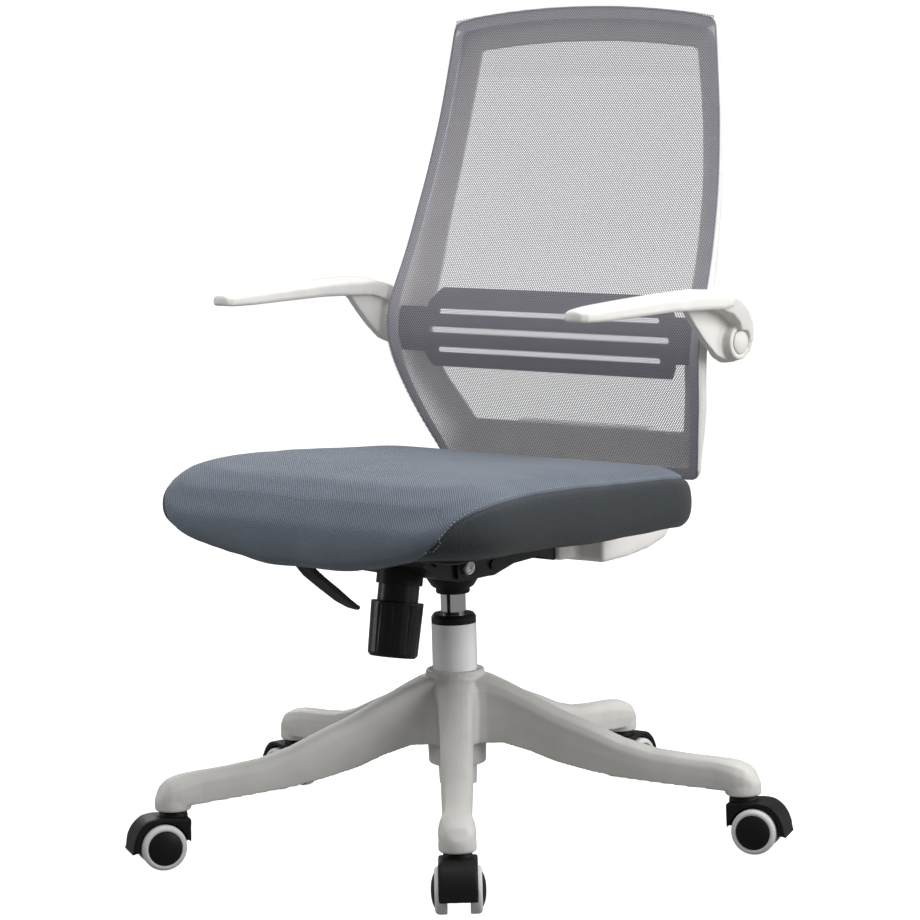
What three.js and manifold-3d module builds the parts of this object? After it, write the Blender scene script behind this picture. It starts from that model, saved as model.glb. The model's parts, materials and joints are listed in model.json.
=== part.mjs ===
// Mesh-back swivel office chair with flip-up armrests. Millimetres, +Z up, the sitter faces -Y.
// Every builder below works in a frame whose Z axis is the gas column and whose floor is z = 0;
// the finished chair is then moved so that the origin is the middle of its footprint.
import * as THREE from "three";
import Module from "manifold-3d";

const wasm = await Module();
wasm.setup();

// ---------------------------------------------------------------- driving dimensions
const COLUMN_AT = [7.1, -23.3];      // column axis in the finished frame
const GAP = 0.3;                     // between pieces that touch
const ROUND = 24;                    // segments of a large round part

const LEG_COUNT = 5;
const FIRST_LEG = 40.18;             // degrees, from the sitter's front toward the sitter's left
const STEM_CIRCLE_R = 326.5;
const HUB_R = 33;
const HUB_TOP = 191.5;
const HUB_BOTTOM = 85;
const SOCKET_BOTTOM = 62;
const SOCKET_R = 20;

const WHEEL_R = 25;
const WHEEL_IN = 12;                 // inner face of a wheel, from the caster's middle plane
const CASTER_TRAIL = 15.5;
const HOOD_HALF = 20.5;
const STEM_R = 5.5;

const TUBE_R = 25;
const TUBE_TOP = 243;
const TUBE_FOOT_R = 20.7;
const GAS_R = 14;
const GAS_TOP = 325;
const ROD_R = 5;

const MECH_HALF = 56;
const RECLINE_PIVOT = [-46, 316];    // y, z
const SEAT_PIVOT = [-88, 331];       // y, z
const RIVET_AT = [-2, 313];          // y, z of the rivets through the back arm's side plates
const RIVET_R = 3;
const ARM_PLATE_IN = 56.4;
const ARM_PLATE_OUT = 60;
const SPRING_TOP = [-88, 306];       // y, z of the spring housing's upper end
const SPRING_LEAN = 10.8;            // degrees, lower end toward the front
const LEVER_ROD_R = 3.4;

const SEAT_HALF = 240;
const SEAT_FRONT = -265;
const SEAT_REAR = 178;
const SEAT_FRONT_CORNER = 85;
const SEAT_REAR_CORNER = 70;
const PAN_TOP = 354;
const PAN_BOTTOM = 346.4;

const BACK_BOTTOM = 388;
const BACK_TOP = 917;                // highest point of the bowed top edge
const BACK_TOP_BOW = 14;
const BACK_CORNER_R = 14;
const LUMBAR_BACK = 13.5;            // lumbar plate behind the mesh
const SHELL_TUCK_FROM = 540;

const ARM_IN = 234;
const ARM_OUT = 272;
const ARM_PIVOT = [195, 548];        // y, z
const ARM_BOSS_OUT = 258;            // outer end of the pivot boss

// ---------------------------------------------------------------- colours
const WHITE = { color: 0xe9e8e4, roughness: 0.45, metalness: 0 };
const BLACK = { color: 0x1c1c1e, roughness: 0.55, metalness: 0 };
const CHROME = { color: 0xc8c9cc, roughness: 0.12, metalness: 1 };
const STEEL = { color: 0x9a9ca0, roughness: 0.35, metalness: 1 };
const BLACK_STEEL = { color: 0x202124, roughness: 0.5, metalness: 0.4 };
const TREAD = { color: 0x8f8f93, roughness: 0.6, metalness: 0 };
const MESH_GREY = { color: 0x77777d, roughness: 0.85, metalness: 0 };
const CARRIER_GREY = { color: 0x4b4b50, roughness: 0.6, metalness: 0 };
const SEAT_GREY = { color: 0x6f7a85, roughness: 0.95, metalness: 0 };

// ---------------------------------------------------------------- solid helpers
const RAD = Math.PI / 180;

function weld(geometry) {
  const flat = geometry.index ? geometry.toNonIndexed() : geometry;
  const p = flat.getAttribute("position");
  const known = new Map();
  const verts = [];
  const corner = [];
  for (let i = 0; i < p.count; i++) {
    const xyz = [p.getX(i), p.getY(i), p.getZ(i)];
    const key = xyz.map((v) => Math.round(v * 1e3)).join(",");
    if (!known.has(key)) {
      known.set(key, verts.length / 3);
      verts.push(...xyz);
    }
    corner.push(known.get(key));
  }
  const faces = [];
  for (let i = 0; i < corner.length; i += 3) {
    const [a, b, c] = corner.slice(i, i + 3);
    if (a !== b && b !== c && a !== c) faces.push(a, b, c);
  }
  return { verts, faces };
}

function solid(geometry) {
  const { verts, faces } = weld(geometry);
  const triVerts = new Uint32Array(faces);
  const mesh = new wasm.Mesh({ numProp: 3, vertProperties: new Float32Array(verts), triVerts });
  return new wasm.Manifold(mesh);
}

function fromSolid(body) {
  const m = body.getMesh();
  const geometry = new THREE.BufferGeometry();
  geometry.setAttribute("position", new THREE.BufferAttribute(new Float32Array(m.vertProperties), 3));
  geometry.setIndex([...m.triVerts]);
  return geometry;
}

function join(...geometries) {
  return fromSolid(geometries.map(solid).reduce((a, b) => a.add(b)));
}

function cut(geometry, ...tools) {
  return fromSolid(tools.map(solid).reduce((a, b) => a.subtract(b), solid(geometry)));
}

// A solid of revolution about Z from [radius, z] points that start and end on the axis or close up.
function turned(profile, segments = ROUND) {
  const area = profile.reduce((sum, [r, z], i) => {
    const [r2, z2] = profile[(i + 1) % profile.length];
    return sum + r * z2 - r2 * z;
  }, 0);
  const points = area > 0 ? profile : [...profile].reverse();
  const lathe = new THREE.LatheGeometry(points.map(([r, z]) => new THREE.Vector2(r, z)), segments);
  return lathe.rotateX(Math.PI / 2);
}

function ring(profile, segments = ROUND) {
  return turned([...profile, profile[0]], segments);
}

function post(r, z0, z1, segments = ROUND) {
  return turned([[0, z0], [r, z0], [r, z1], [0, z1]], segments);
}

// A solid skinned over closed loops of [x, y, z] points, all with the same count.
function skinned(loops, { closed = false, cap = fanCap } = {}) {
  const n = loops[0].length;
  const tri = [];
  const spans = closed ? loops.length : loops.length - 1;
  for (let i = 0; i < spans; i++) {
    const a = loops[i];
    const b = loops[(i + 1) % loops.length];
    for (let k = 0; k < n; k++) {
      const k2 = (k + 1) % n;
      tri.push(a[k], b[k], b[k2], a[k], b[k2], a[k2]);
    }
  }
  if (!closed) {
    tri.push(...cap(loops[0]).reverse());
    tri.push(...cap(loops[loops.length - 1]));
  }
  const geometry = new THREE.BufferGeometry();
  geometry.setAttribute("position", new THREE.BufferAttribute(new Float32Array(tri.flat()), 3));
  return outward(geometry);
}

function fanCap(loop) {
  const centre = [0, 1, 2].map((i) => loop.reduce((s, p) => s + p[i], 0) / loop.length);
  return loop.flatMap((p, k) => [p, centre, loop[(k + 1) % loop.length]]);
}

// Cap for a loop that is symmetric left to right: straight strips across.
function strapCap(loop) {
  const n = loop.length;
  const tri = [];
  for (let k = 0; k < n / 2 - 1; k++) {
    const [a, b, c, d] = [loop[k], loop[k + 1], loop[n - 2 - k], loop[n - 1 - k]];
    tri.push(a, d, c, a, c, b);
  }
  return tri;
}

function volume(geometry) {
  const p = geometry.getAttribute("position").array;
  let six = 0;
  for (let i = 0; i < p.length; i += 9) {
    const [ax, ay, az, bx, by, bz, cx, cy, cz] = p.slice(i, i + 9);
    six += ax * (by * cz - bz * cy) + ay * (bz * cx - bx * cz) + az * (bx * cy - by * cx);
  }
  return six / 6;
}

function outward(geometry) {
  if (volume(geometry) > 0) return geometry;
  const p = geometry.getAttribute("position").array;
  for (let i = 0; i < p.length; i += 9) {
    for (let k = 0; k < 3; k++) [p[i + 3 + k], p[i + 6 + k]] = [p[i + 6 + k], p[i + 3 + k]];
  }
  return geometry;
}

// A plate: an outline of [y, z] points pushed through from x0 to x1.
function sideProfile(outline, x0, x1) {
  const shape = new THREE.Shape(outline.map(([y, z]) => new THREE.Vector2(y, z)));
  const slab = new THREE.ExtrudeGeometry(shape, { depth: x1 - x0, bevelEnabled: false, curveSegments: 8 });
  const toSide = new THREE.Matrix4().makeBasis(
    new THREE.Vector3(0, 1, 0), new THREE.Vector3(0, 0, 1), new THREE.Vector3(1, 0, 0));
  return slab.applyMatrix4(toSide).translate(x0, 0, 0);
}

function block(x0, x1, y0, y1, z0, z1) {
  return new THREE.BoxGeometry(x1 - x0, y1 - y0, z1 - z0)
    .translate((x0 + x1) / 2, (y0 + y1) / 2, (z0 + z1) / 2);
}

// A round bar along X between x0 and x1 at height z and depth y.
function crossBar(r, x0, x1, y, z, segments = 20) {
  return post(r, x0, x1, segments).rotateY(Math.PI / 2).translate(0, y, z);
}

function smooth(points, value) {
  const last = points.length - 1;
  if (value <= points[0][0]) return points[0][1];
  if (value >= points[last][0]) return points[last][1];
  const i = points.findIndex((p, k) => k < last && value < points[k + 1][0]);
  const slope = (k) => {
    const [a, b] = [points[Math.max(k - 1, 0)], points[Math.min(k + 1, last)]];
    return (b[1] - a[1]) / (b[0] - a[0]);
  };
  const [[x0, y0], [x1, y1]] = [points[i], points[i + 1]];
  const h = x1 - x0;
  const t = (value - x0) / h;
  const t2 = t * t;
  const t3 = t2 * t;
  return (2 * t3 - 3 * t2 + 1) * y0 + (t3 - 2 * t2 + t) * h * slope(i)
    + (3 * t2 - 2 * t3) * y1 + (t3 - t2) * h * slope(i + 1);
}

// ---------------------------------------------------------------- five-star base
const LEG_CREST = [[18, 187], [38, 184], [74, 170.5], [118, 149], [157, 134], [192, 119.5], [225, 110],
  [266, 104.8], [306, 101.7], [328, 97.5], [339, 89], [345.5, 76]];
const LEG_BELLY = [[18, 110], [58, 111], [89, 103.5], [119, 92.5], [144, 86.5], [180, 79.2], [226, 73.9],
  [267, 70.2], [305, 68], [346, 67.5]];
const LEG_HALF_WIDTH = [[18, 30], [30, 25.5], [42, 20.5], [60, 18.8], [120, 18], [200, 17], [270, 15.6],
  [296, 16], [312, 18.8], [326.5, 20], [337, 17], [343, 11.3], [346, 4]];

function legSection(rho) {
  const w = smooth(LEG_HALF_WIDTH, rho);
  const top = smooth(LEG_CREST, rho);
  const low = smooth(LEG_BELLY, rho);
  const high = Math.max(top - w * 0.62, low + 3);
  const half = [[w * 0.93, low], [w, low * 0.45 + high * 0.55], [w * 0.97, high],
    [w * 0.76, top - w * 0.2], [w * 0.4, top - w * 0.05]];
  const section = [...half, [0, top], ...half.map(([x, z]) => [-x, z]).reverse()];
  return section.map(([x, z]) => [x, -rho, z]);
}

function leg() {
  const stations = [20, 30, 42, 60, 90, 120, 157, 192, 228, 266, 296, 312, 322, 332, 339, 343.5, 346];
  return skinned(stations.map((rho) => legSection(rho)));
}

// The underside is hollow between cross ribs.
function legPockets() {
  const edges = [48, 98, 146, 194, 242, 290];
  return edges.slice(1).map((end, i) => skinned([edges[i] + 1.4, end - 1.4].map((rho) => {
    const w = smooth(LEG_HALF_WIDTH, rho) - 3.2;
    const top = smooth(LEG_CREST, rho) - 5;
    const low = smooth(LEG_BELLY, rho) - 6;
    return [[w, low], [w, top - w * 0.55], [w * 0.5, top], [-w * 0.5, top], [-w, top - w * 0.55], [-w, low]]
      .map(([x, z]) => [x, -rho, z]);
  })));
}

function legParts(angle) {
  const socket = turned([[0, SOCKET_BOTTOM], [SOCKET_R - 1, SOCKET_BOTTOM], [SOCKET_R, SOCKET_BOTTOM + 1],
    [SOCKET_R, 72], [0, 84]], 20).translate(0, -STEM_CIRCLE_R, 0);
  const bore = post(STEM_R + GAP, SOCKET_BOTTOM - 1, 86, 12).translate(0, -STEM_CIRCLE_R, 0);
  const turn = (g) => g.rotateZ(angle * RAD);
  return { add: [leg(), socket].map(turn), take: [bore, ...legPockets()].map(turn) };
}

function starBase() {
  const hub = turned([[0, HUB_BOTTOM], [HUB_R - 2, HUB_BOTTOM], [HUB_R - 1, HUB_BOTTOM + 1.5],
    [HUB_R, 112], [HUB_R, HUB_TOP - 1], [HUB_R - 1, HUB_TOP], [0, HUB_TOP]]);
  const taper = turned([[0, HUB_BOTTOM - 1], [columnRadius(HUB_BOTTOM) + GAP, HUB_BOTTOM - 1],
    [TUBE_R + GAP, 150], [TUBE_R + GAP, HUB_TOP + 1], [0, HUB_TOP + 1]]);
  const parts = legAngles().map(legParts);
  const body = join(hub, ...parts.flatMap((p) => p.add));
  return cut(body, taper, ...parts.flatMap((p) => p.take));
}

function legAngles() {
  return Array.from({ length: LEG_COUNT }, (_, i) => FIRST_LEG + (i * 360) / LEG_COUNT);
}

// ---------------------------------------------------------------- twin-wheel casters
// Each caster is built with its stem on the Z axis and its wheels trailing toward -Y.
function casterStem() {
  return turned([[0, 47], [STEM_R, 47], [STEM_R, 57.4], [9, 57.4], [9, 61.4], [STEM_R, 61.4],
    [STEM_R, 84.5], [0, 84.5]], 12);
}

function casterHood() {
  const reach = 38;
  const arc = (r, from, to, steps) => Array.from({ length: steps + 1 }, (_, i) => {
    const a = (from + ((to - from) * i) / steps) * RAD;
    return [-CASTER_TRAIL - r * Math.cos(a), WHEEL_R + r * Math.sin(a)];
  });
  const wheelRoom = WHEEL_R + 2.2;
  const crown = [...arc(wheelRoom, -8, 163, 9), [15, 27], [15.5, 55], [-13, 57], [-22, 57.4],
    ...arc(reach - 3.5, 62, 0, 6), [-CASTER_TRAIL - 36.5, 19]];
  const shell = sideProfile(crown, -HOOD_HALF, HOOD_HALF);
  const web = sideProfile([...arc(wheelRoom + 1, 0, 170, 8), [10, 24], [-2, 14],
    [-CASTER_TRAIL - 9, 17], [-CASTER_TRAIL - 24, 21]], -WHEEL_IN + 2, WHEEL_IN - 2);
  const stemBore = post(STEM_R + GAP, 46.5, 60, 20);
  const axleBore = crossBar(3 + GAP, -30, 30, -CASTER_TRAIL, WHEEL_R, 16);
  return cut(join(shell, web), stemBore, axleBore);
}

function casterAxle() {
  return crossBar(3, -23, 23, -CASTER_TRAIL, WHEEL_R, 14);
}

function casterWheel(side) {
  const tread = [[3 + GAP, WHEEL_IN], [WHEEL_R, WHEEL_IN], [WHEEL_R, 21], [WHEEL_R - 2.2, 24.2],
    [19.2, 24.6], [12, 27.8], [0, 28.6], [0, 23.6], [3 + GAP, 23.6]];
  const wheel = turned(tread.slice(6).concat(tread.slice(0, 7)), 24).rotateY((side * Math.PI) / 2);
  return wheel.translate(0, -CASTER_TRAIL, WHEEL_R);
}

function caster(angle) {
  const onLeg = (g) => g.translate(0, -STEM_CIRCLE_R, 0).rotateZ(angle * RAD);
  return {
    stem: [onLeg(casterStem()), STEEL],
    hood: [onLeg(casterHood()), BLACK],
    axle: [onLeg(casterAxle()), STEEL],
    wheel_a: [onLeg(casterWheel(1)), TREAD],
    wheel_b: [onLeg(casterWheel(-1)), TREAD],
  };
}

// ---------------------------------------------------------------- gas column
function columnRadius(z) {
  return z >= 150 ? TUBE_R : TUBE_FOOT_R + ((TUBE_R - TUBE_FOOT_R) * (z - 62)) / 88;
}

function columnTube() {
  const wall = 2.4;
  return ring([[ROD_R + GAP, 62], [TUBE_FOOT_R, 62], [TUBE_R, 150], [TUBE_R, TUBE_TOP],
    [TUBE_R - wall, TUBE_TOP], [TUBE_R - wall, 150], [TUBE_FOOT_R - wall, 65], [ROD_R + GAP, 65]]);
}

function guideBush() {
  const sleeve = TUBE_R - 2.4 - GAP;
  return ring([[GAS_R + GAP, 160], [sleeve, 160], [sleeve, TUBE_TOP + GAP], [TUBE_R, TUBE_TOP + GAP],
    [TUBE_R, 250], [TUBE_R - 2.5, 253.5], [GAS_R + GAP, 253.5]]);
}

function gasCylinder() {
  return ring([[ROD_R + GAP, 96], [GAS_R - 1, 96], [GAS_R, 97], [GAS_R, 300], [GAS_R - 1.2, GAS_TOP],
    [4 + GAP, GAS_TOP], [4 + GAP, 311], [11.4, 302], [11.4, 100], [ROD_R + GAP, 100]]);
}

function pistonRod() {
  return turned([[0, 58], [ROD_R, 58], [ROD_R, 73.3], [8.5, 73.3], [8.5, 78], [ROD_R, 78], [ROD_R, 262],
    [11, 262], [11, 272], [0, 272]], 16);
}

function thrustBearing() {
  return ring([[ROD_R + GAP, 65.4], [12, 65.4], [12, 73], [ROD_R + GAP, 73]], 20);
}

function retainingClip() {
  return ring([[ROD_R + GAP, 59.6], [10, 59.6], [10, 61.6], [ROD_R + GAP, 61.6]], 20);
}

function releaseButton() {
  return turned([[0, 316], [4, 316], [4, 328], [3, 329.5], [0, 329.5]], 16);
}

function dustCollar() {
  return ring([[GAS_R + GAP, 276.5], [18.2, 276.5], [19, 278], [19, 283], [GAS_R + GAP, 283]]);
}

// ---------------------------------------------------------------- tilt mechanism
function mechanismHousing() {
  const outline = [[-112, 324], [-112, 338], [-60, 338], [-20, 334.5], [10, 331], [60, 325.5], [100, 321.5],
    [100, 317], [70, 315], [35, 309], [8, 300], [-52, 300], [-88, 309]];
  const room = [[-109, 327], [-109, 345], [110, 345], [110, 319], [70, 318], [34, 312], [8, 303], [-50, 303],
    [-86, 312]];
  const bell = turned([[0, 283.3], [22, 283.3], [24, 285], [31, 296], [34, 302], [24, 304], [20, 318],
    [20, 322], [0, 322]]);
  const tray = cut(sideProfile(outline, -MECH_HALF, MECH_HALF),
    sideProfile(room, -MECH_HALF + 3, MECH_HALF - 3));
  const tube = leaned(post(25.6, -8, 10));
  const bores = [
    turned([[0, 282], [GAS_R + GAP, 282], [GAS_R + GAP, 301], [GAS_R - 0.8 + GAP, 330], [0, 330]]),
    leaned(post(ROD_R + GAP + 6, -12, 14, 20)),
    crossBar(6 + GAP, -70, 70, ...RECLINE_PIVOT),
    crossBar(4 + GAP, -70, 70, ...SEAT_PIVOT),
    leverBore(),
  ];
  return cut(join(tray, bell, tube), ...bores);
}

// Pieces of the spring set are built along Z with their upper end at 0 and then leaned into place.
function leaned(geometry) {
  return geometry.rotateX(-SPRING_LEAN * RAD).translate(0, ...SPRING_TOP);
}

function springHousing() {
  return leaned(ring([[20.5, -30], [22.6, -30], [22.6, -8.4], [20.5, -8.4]]));
}

function tiltSpring() {
  const turns = 4;
  const steps = turns * 10;
  const path = Array.from({ length: steps + 1 }, (_, i) => {
    const a = (i / 10) * 2 * Math.PI;
    return new THREE.Vector3(15 * Math.cos(a), 15 * Math.sin(a), -11.4 - (i / steps) * 30);
  });
  const wire = new THREE.Shape();
  wire.absarc(0, 0, 2.2, 0, Math.PI * 2);
  return leaned(new THREE.ExtrudeGeometry(wire, {
    steps, curveSegments: 3, extrudePath: new THREE.CatmullRomCurve3(path),
  }));
}

function tensionBolt() {
  return leaned(turned([[0, -88], [ROD_R, -88], [ROD_R, 10.4], [11, 10.4], [11, 16], [0, 16]], 16));
}

function tensionKnob() {
  const cup = ring([[ROD_R + GAP, -50], [23.4, -50], [23.4, -26.5], [29, -26.5], [27.6, -84], [24.6, -87.5],
    [ROD_R + GAP, -87.5]], 20);
  const flutes = Array.from({ length: 10 }, (_, i) => block(27.1, 31, -1.4, 1.4, -90, -30)
    .rotateZ((i + 0.5) * 36 * RAD));
  return leaned(cut(cup, ...flutes));
}

function pivotBolt(r, head, y, z) {
  const half = ARM_PLATE_OUT + 0.4;
  return join(crossBar(r, -half - 1, half + 1, y, z), crossBar(head, half, half + 4, y, z),
    crossBar(head, -half - 4, -half, y, z));
}

// A rivet through one side plate of the back arm. Its inner end is flush, so it clears the housing.
function armRivet(side) {
  const headFace = ARM_PLATE_OUT + GAP;
  const [a, b] = [side * ARM_PLATE_IN, side * (headFace + 1)].sort((p, q) => p - q);
  const [c, d] = [side * headFace, side * (headFace + 2.7)].sort((p, q) => p - q);
  return join(crossBar(RIVET_R, a, b, ...RIVET_AT, 12), crossBar(RIVET_R + 2, c, d, ...RIVET_AT, 16));
}

function seatAxle() {
  return crossBar(4, -MECH_HALF - 3.2, MECH_HALF + 3.2, ...SEAT_PIVOT);
}

function seatPlate() {
  const flat = block(-105, 105, -108, 110, 343.2, 346);
  const ear = [[-98, 346], [-98, 328], [-93, 322], [-83, 322], [-78, 328], [-78, 346]];
  const ears = [1, -1].map((s) => sideProfile(ear, ...(s > 0 ? [56.4, 59] : [-59, -56.4])));
  const window = block(-42, 42, -64, 66, 340, 350);
  return cut(join(flat, ...ears), window, crossBar(4 + GAP, -70, 70, ...SEAT_PIVOT));
}

function backArm() {
  const outline = [[-60, 305], [-42, 302.5], [0, 300.5], [35, 309], [86, 311], [86, 334], [60, 333],
    [10, 328], [-34, 330], [-56, 329], [-62, 318]];
  const plates = [[ARM_PLATE_IN, ARM_PLATE_OUT], [-ARM_PLATE_OUT, -ARM_PLATE_IN]]
    .map(([a, b]) => sideProfile(outline, a, b));
  const rearWeb = block(-ARM_PLATE_OUT, ARM_PLATE_OUT, 104, 108, 303, 334);
  const cheeks = [[ARM_PLATE_IN, ARM_PLATE_OUT], [-ARM_PLATE_OUT, -ARM_PLATE_IN]]
    .map(([a, b]) => sideProfile([[80, 311], [108, 303], [108, 334], [80, 334]], a, b));
  return cut(join(...plates, rearWeb, ...cheeks), crossBar(6 + GAP, -70, 70, ...RECLINE_PIVOT),
    crossBar(RIVET_R + GAP, -70, 70, ...RIVET_AT));
}

// ---------------------------------------------------------------- height lever
function leverBore() {
  return crossBar(LEVER_ROD_R + 2, -66, -44, -68, 321, 16);
}

// The inner end is the finger that presses the release button; the outer end carries the paddle.
function leverRod() {
  const route = [[-3, -1, 333.2], [-16, -18, 333], [-38, -52, 326], [-54, -69, 321], [-72, -70, 320.5],
    [-130, -66, 320.5], [-172, -64, 320.4]];
  const path = new THREE.CatmullRomCurve3(route.map((p) => new THREE.Vector3(...p)));
  const wire = new THREE.Shape();
  wire.absarc(0, 0, LEVER_ROD_R, 0, Math.PI * 2);
  return new THREE.ExtrudeGeometry(wire, { steps: 18, curveSegments: 4, extrudePath: path });
}

function leverPaddle() {
  const spine = [[-68, 314], [-60, 302], [-42, 286], [-18, 268.5], [4, 252.5], [20, 243], [30, 239]];
  const halfWidth = [11, 15, 18, 18, 16, 11, 4];
  const loops = spine.map(([y, z], i) => {
    const w = halfWidth[i];
    return [[-w, 0], [-w * 0.6, 2.4], [w * 0.6, 2.4], [w, 0], [w * 0.6, -2.4], [-w * 0.6, -2.4]]
      .map(([a, b]) => [-170 + a, y + b * 0.7, z + b]);
  });
  const socket = crossBar(7.5, -181, -158, -64, 320, 16);
  const bore = crossBar(LEVER_ROD_R + 1, -173, -150, -64, 320.4, 16);
  return cut(join(skinned(loops), socket), bore);
}

// ---------------------------------------------------------------- back bracket
function backBracket() {
  const foot = [[146, 296], [195, 297.5], [232, 301.5], [264, 310], [281, 326], [285, 352], [276, 394],
    [255, 440], [234, 440], [249, 404], [255, 372], [252, 352], [240, 338], [222, 331.5], [146, 330]];
  const tongue = [[108.4, 302], [150, 299], [150, 329], [108.4, 333]];
  return join(sideProfile(foot, -98, 98), sideProfile(tongue, -66, 66));
}

// ---------------------------------------------------------------- seat
const SEAT_TOP = [[-265, 404], [-238, 419], [-200, 429], [-150, 432.5], [-50, 428.5], [80, 417], [140, 412],
  [178, 404]];
const SEAT_SEAM = [[-265, 396], [-240, 410], [-180, 420], [-98, 421], [4, 416], [95, 412], [178, 400]];
const SEAT_SIDE_HEM = [[-230, 361], [-110, 356], [-20, 349.5], [110, 346], [178, 340]];

function seatOutline(inset) {
  const half = SEAT_HALF - inset;
  const corners = [
    [half, SEAT_FRONT + inset, SEAT_FRONT_CORNER - inset, -90],
    [half, SEAT_REAR - inset, SEAT_REAR_CORNER - inset, 0],
  ];
  const right = corners.flatMap(([x, y, r, from]) => {
    const radius = Math.max(r, 12);
    const cy = from < 0 ? y + radius : y - radius;
    return Array.from({ length: 7 }, (_, i) => {
      const a = (from + i * 15) * RAD;
      return [x - radius + radius * Math.cos(a), cy + radius * Math.sin(a)];
    });
  });
  const [front, rear] = [right.slice(0, 7), right.slice(7)];
  const straight = (a, b, n) => Array.from({ length: n }, (_, i) => {
    const t = (i + 1) / (n + 1);
    return [a[0] + (b[0] - a[0]) * t, a[1] + (b[1] - a[1]) * t];
  });
  const frontEdge = straight([0, front[0][1]], front[0], 2);
  const rearEdge = straight(rear[6], [0, rear[6][1]], 2);
  const rightHalf = [...frontEdge, ...front, ...straight(front[6], rear[0], 5), ...rear, ...rearEdge];
  return [...rightHalf, ...rightHalf.map(([x, y]) => [-x, y]).reverse()];
}

function seatHem(x, y) {
  const toFront = Math.min(Math.max((-y - 150) / 100, 0), 1);
  const blend = toFront * toFront * (3 - 2 * toFront);
  const lip = 335 + 26 * Math.min((x / 190) ** 2, 1.1);
  return smooth(SEAT_SIDE_HEM, y) * (1 - blend) + lip * blend;
}

function seatCushion() {
  const at = (inset, height) => seatOutline(inset).map(([x, y], i) => {
    const [ex, ey] = seatOutline(0)[i];
    return [x, y, height(x, y, ex, ey)];
  });
  return skinned([
    at(62, () => PAN_TOP + GAP),
    at(34, (x, y, ex, ey) => Math.min(seatHem(ex, ey) + 1, PAN_TOP + GAP)),
    at(16, (x, y, ex, ey) => seatHem(ex, ey)),
    at(4, (x, y, ex, ey) => seatHem(ex, ey) + 10),
    at(0, (x, y, ex, ey) => seatHem(ex, ey) * 0.55 + smooth(SEAT_SEAM, ey) * 0.45),
    at(2, (x, y, ex, ey) => seatHem(ex, ey) * 0.15 + smooth(SEAT_SEAM, ey) * 0.85),
    at(9, (x, y, ex, ey) => smooth(SEAT_SEAM, ey)),
    at(24, (x, y) => smooth(SEAT_TOP, y) - 2.5),
    at(60, (x, y) => smooth(SEAT_TOP, y)),
    at(130, (x, y) => smooth(SEAT_TOP, y) - 1),
    at(205, (x, y) => smooth(SEAT_TOP, y) - 2),
  ], { cap: strapCap });
}

function seatPan() {
  const tray = (inset, z) => seatOutline(inset).map(([x, y]) => [x, y, z]);
  return skinned([tray(74, PAN_BOTTOM), tray(68, PAN_BOTTOM + 2), tray(64, PAN_TOP)], { cap: strapCap });
}

// ---------------------------------------------------------------- back
const RIM_HALF = [[388, 184], [445, 204.3], [492, 218.4], [540, 227.3], [577, 228.6], [640, 222.8],
  [703, 216], [801, 202.8], [917, 187]];
const RIM_DEPTH = [[388, 209], [405, 202.2], [445, 185.2], [492, 168.6], [520, 161], [546, 158.6],
  [577, 164.8], [640, 191.4], [703, 213.4], [741, 224.6], [801, 238.3], [917, 255.4]];
const SHELL_WIDTH = [[388, 55], [459, 50], [500, 45], [598, 45], [660, 40], [771, 37], [866, 39], [917, 41]];
const SHELL_DEPTH = [[388, 44], [459, 42], [500, 36], [598, 34], [660, 27], [716, 23.5], [771, 20.5],
  [866, 17.5], [917, 17]];

function backEdge(x) {
  return BACK_TOP - BACK_TOP_BOW * (x / 188) ** 2;
}

// One loop parallel to the rim: inward on the sides, top and bottom, and behind the mesh.
function backLoop(side, top, bottom, behind, radius) {
  const sideIn = (z) => (typeof side === "function" ? side(z) : side);
  const z0 = BACK_BOTTOM + bottom;
  const corner = Math.max(radius, 2);
  const zTop = backEdge(smooth(RIM_HALF, 905) - sideIn(905)) - top;
  const points = [];
  const edgeX = (z) => smooth(RIM_HALF, z) - sideIn(z);
  const bottomX = edgeX(z0 + corner) - corner;
  for (const t of [0.25, 0.6]) points.push([bottomX * t, z0]);
  for (const a of [-90, -60, -30]) {
    points.push([bottomX + corner * Math.cos(a * RAD), z0 + corner + corner * Math.sin(a * RAD)]);
  }
  const low = z0 + corner;
  const high = zTop - corner;
  const rows = 15;
  for (let i = 0; i <= rows; i++) {
    const z = low + ((high - low) * i) / rows;
    points.push([edgeX(z), z]);
  }
  const topX = edgeX(high) - corner;
  for (const a of [30, 60, 90]) {
    points.push([topX + corner * Math.cos(a * RAD), high + corner * Math.sin(a * RAD)]);
  }
  for (const t of [0.8, 0.55, 0.2]) points.push([topX * t, backEdge(topX * t) - top]);
  const right = points.map(([x, z]) => [x, smooth(RIM_DEPTH, z) + behind(z), z]);
  return [...right, ...right.map(([x, y, z]) => [-x, y, z]).reverse()];
}

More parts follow.
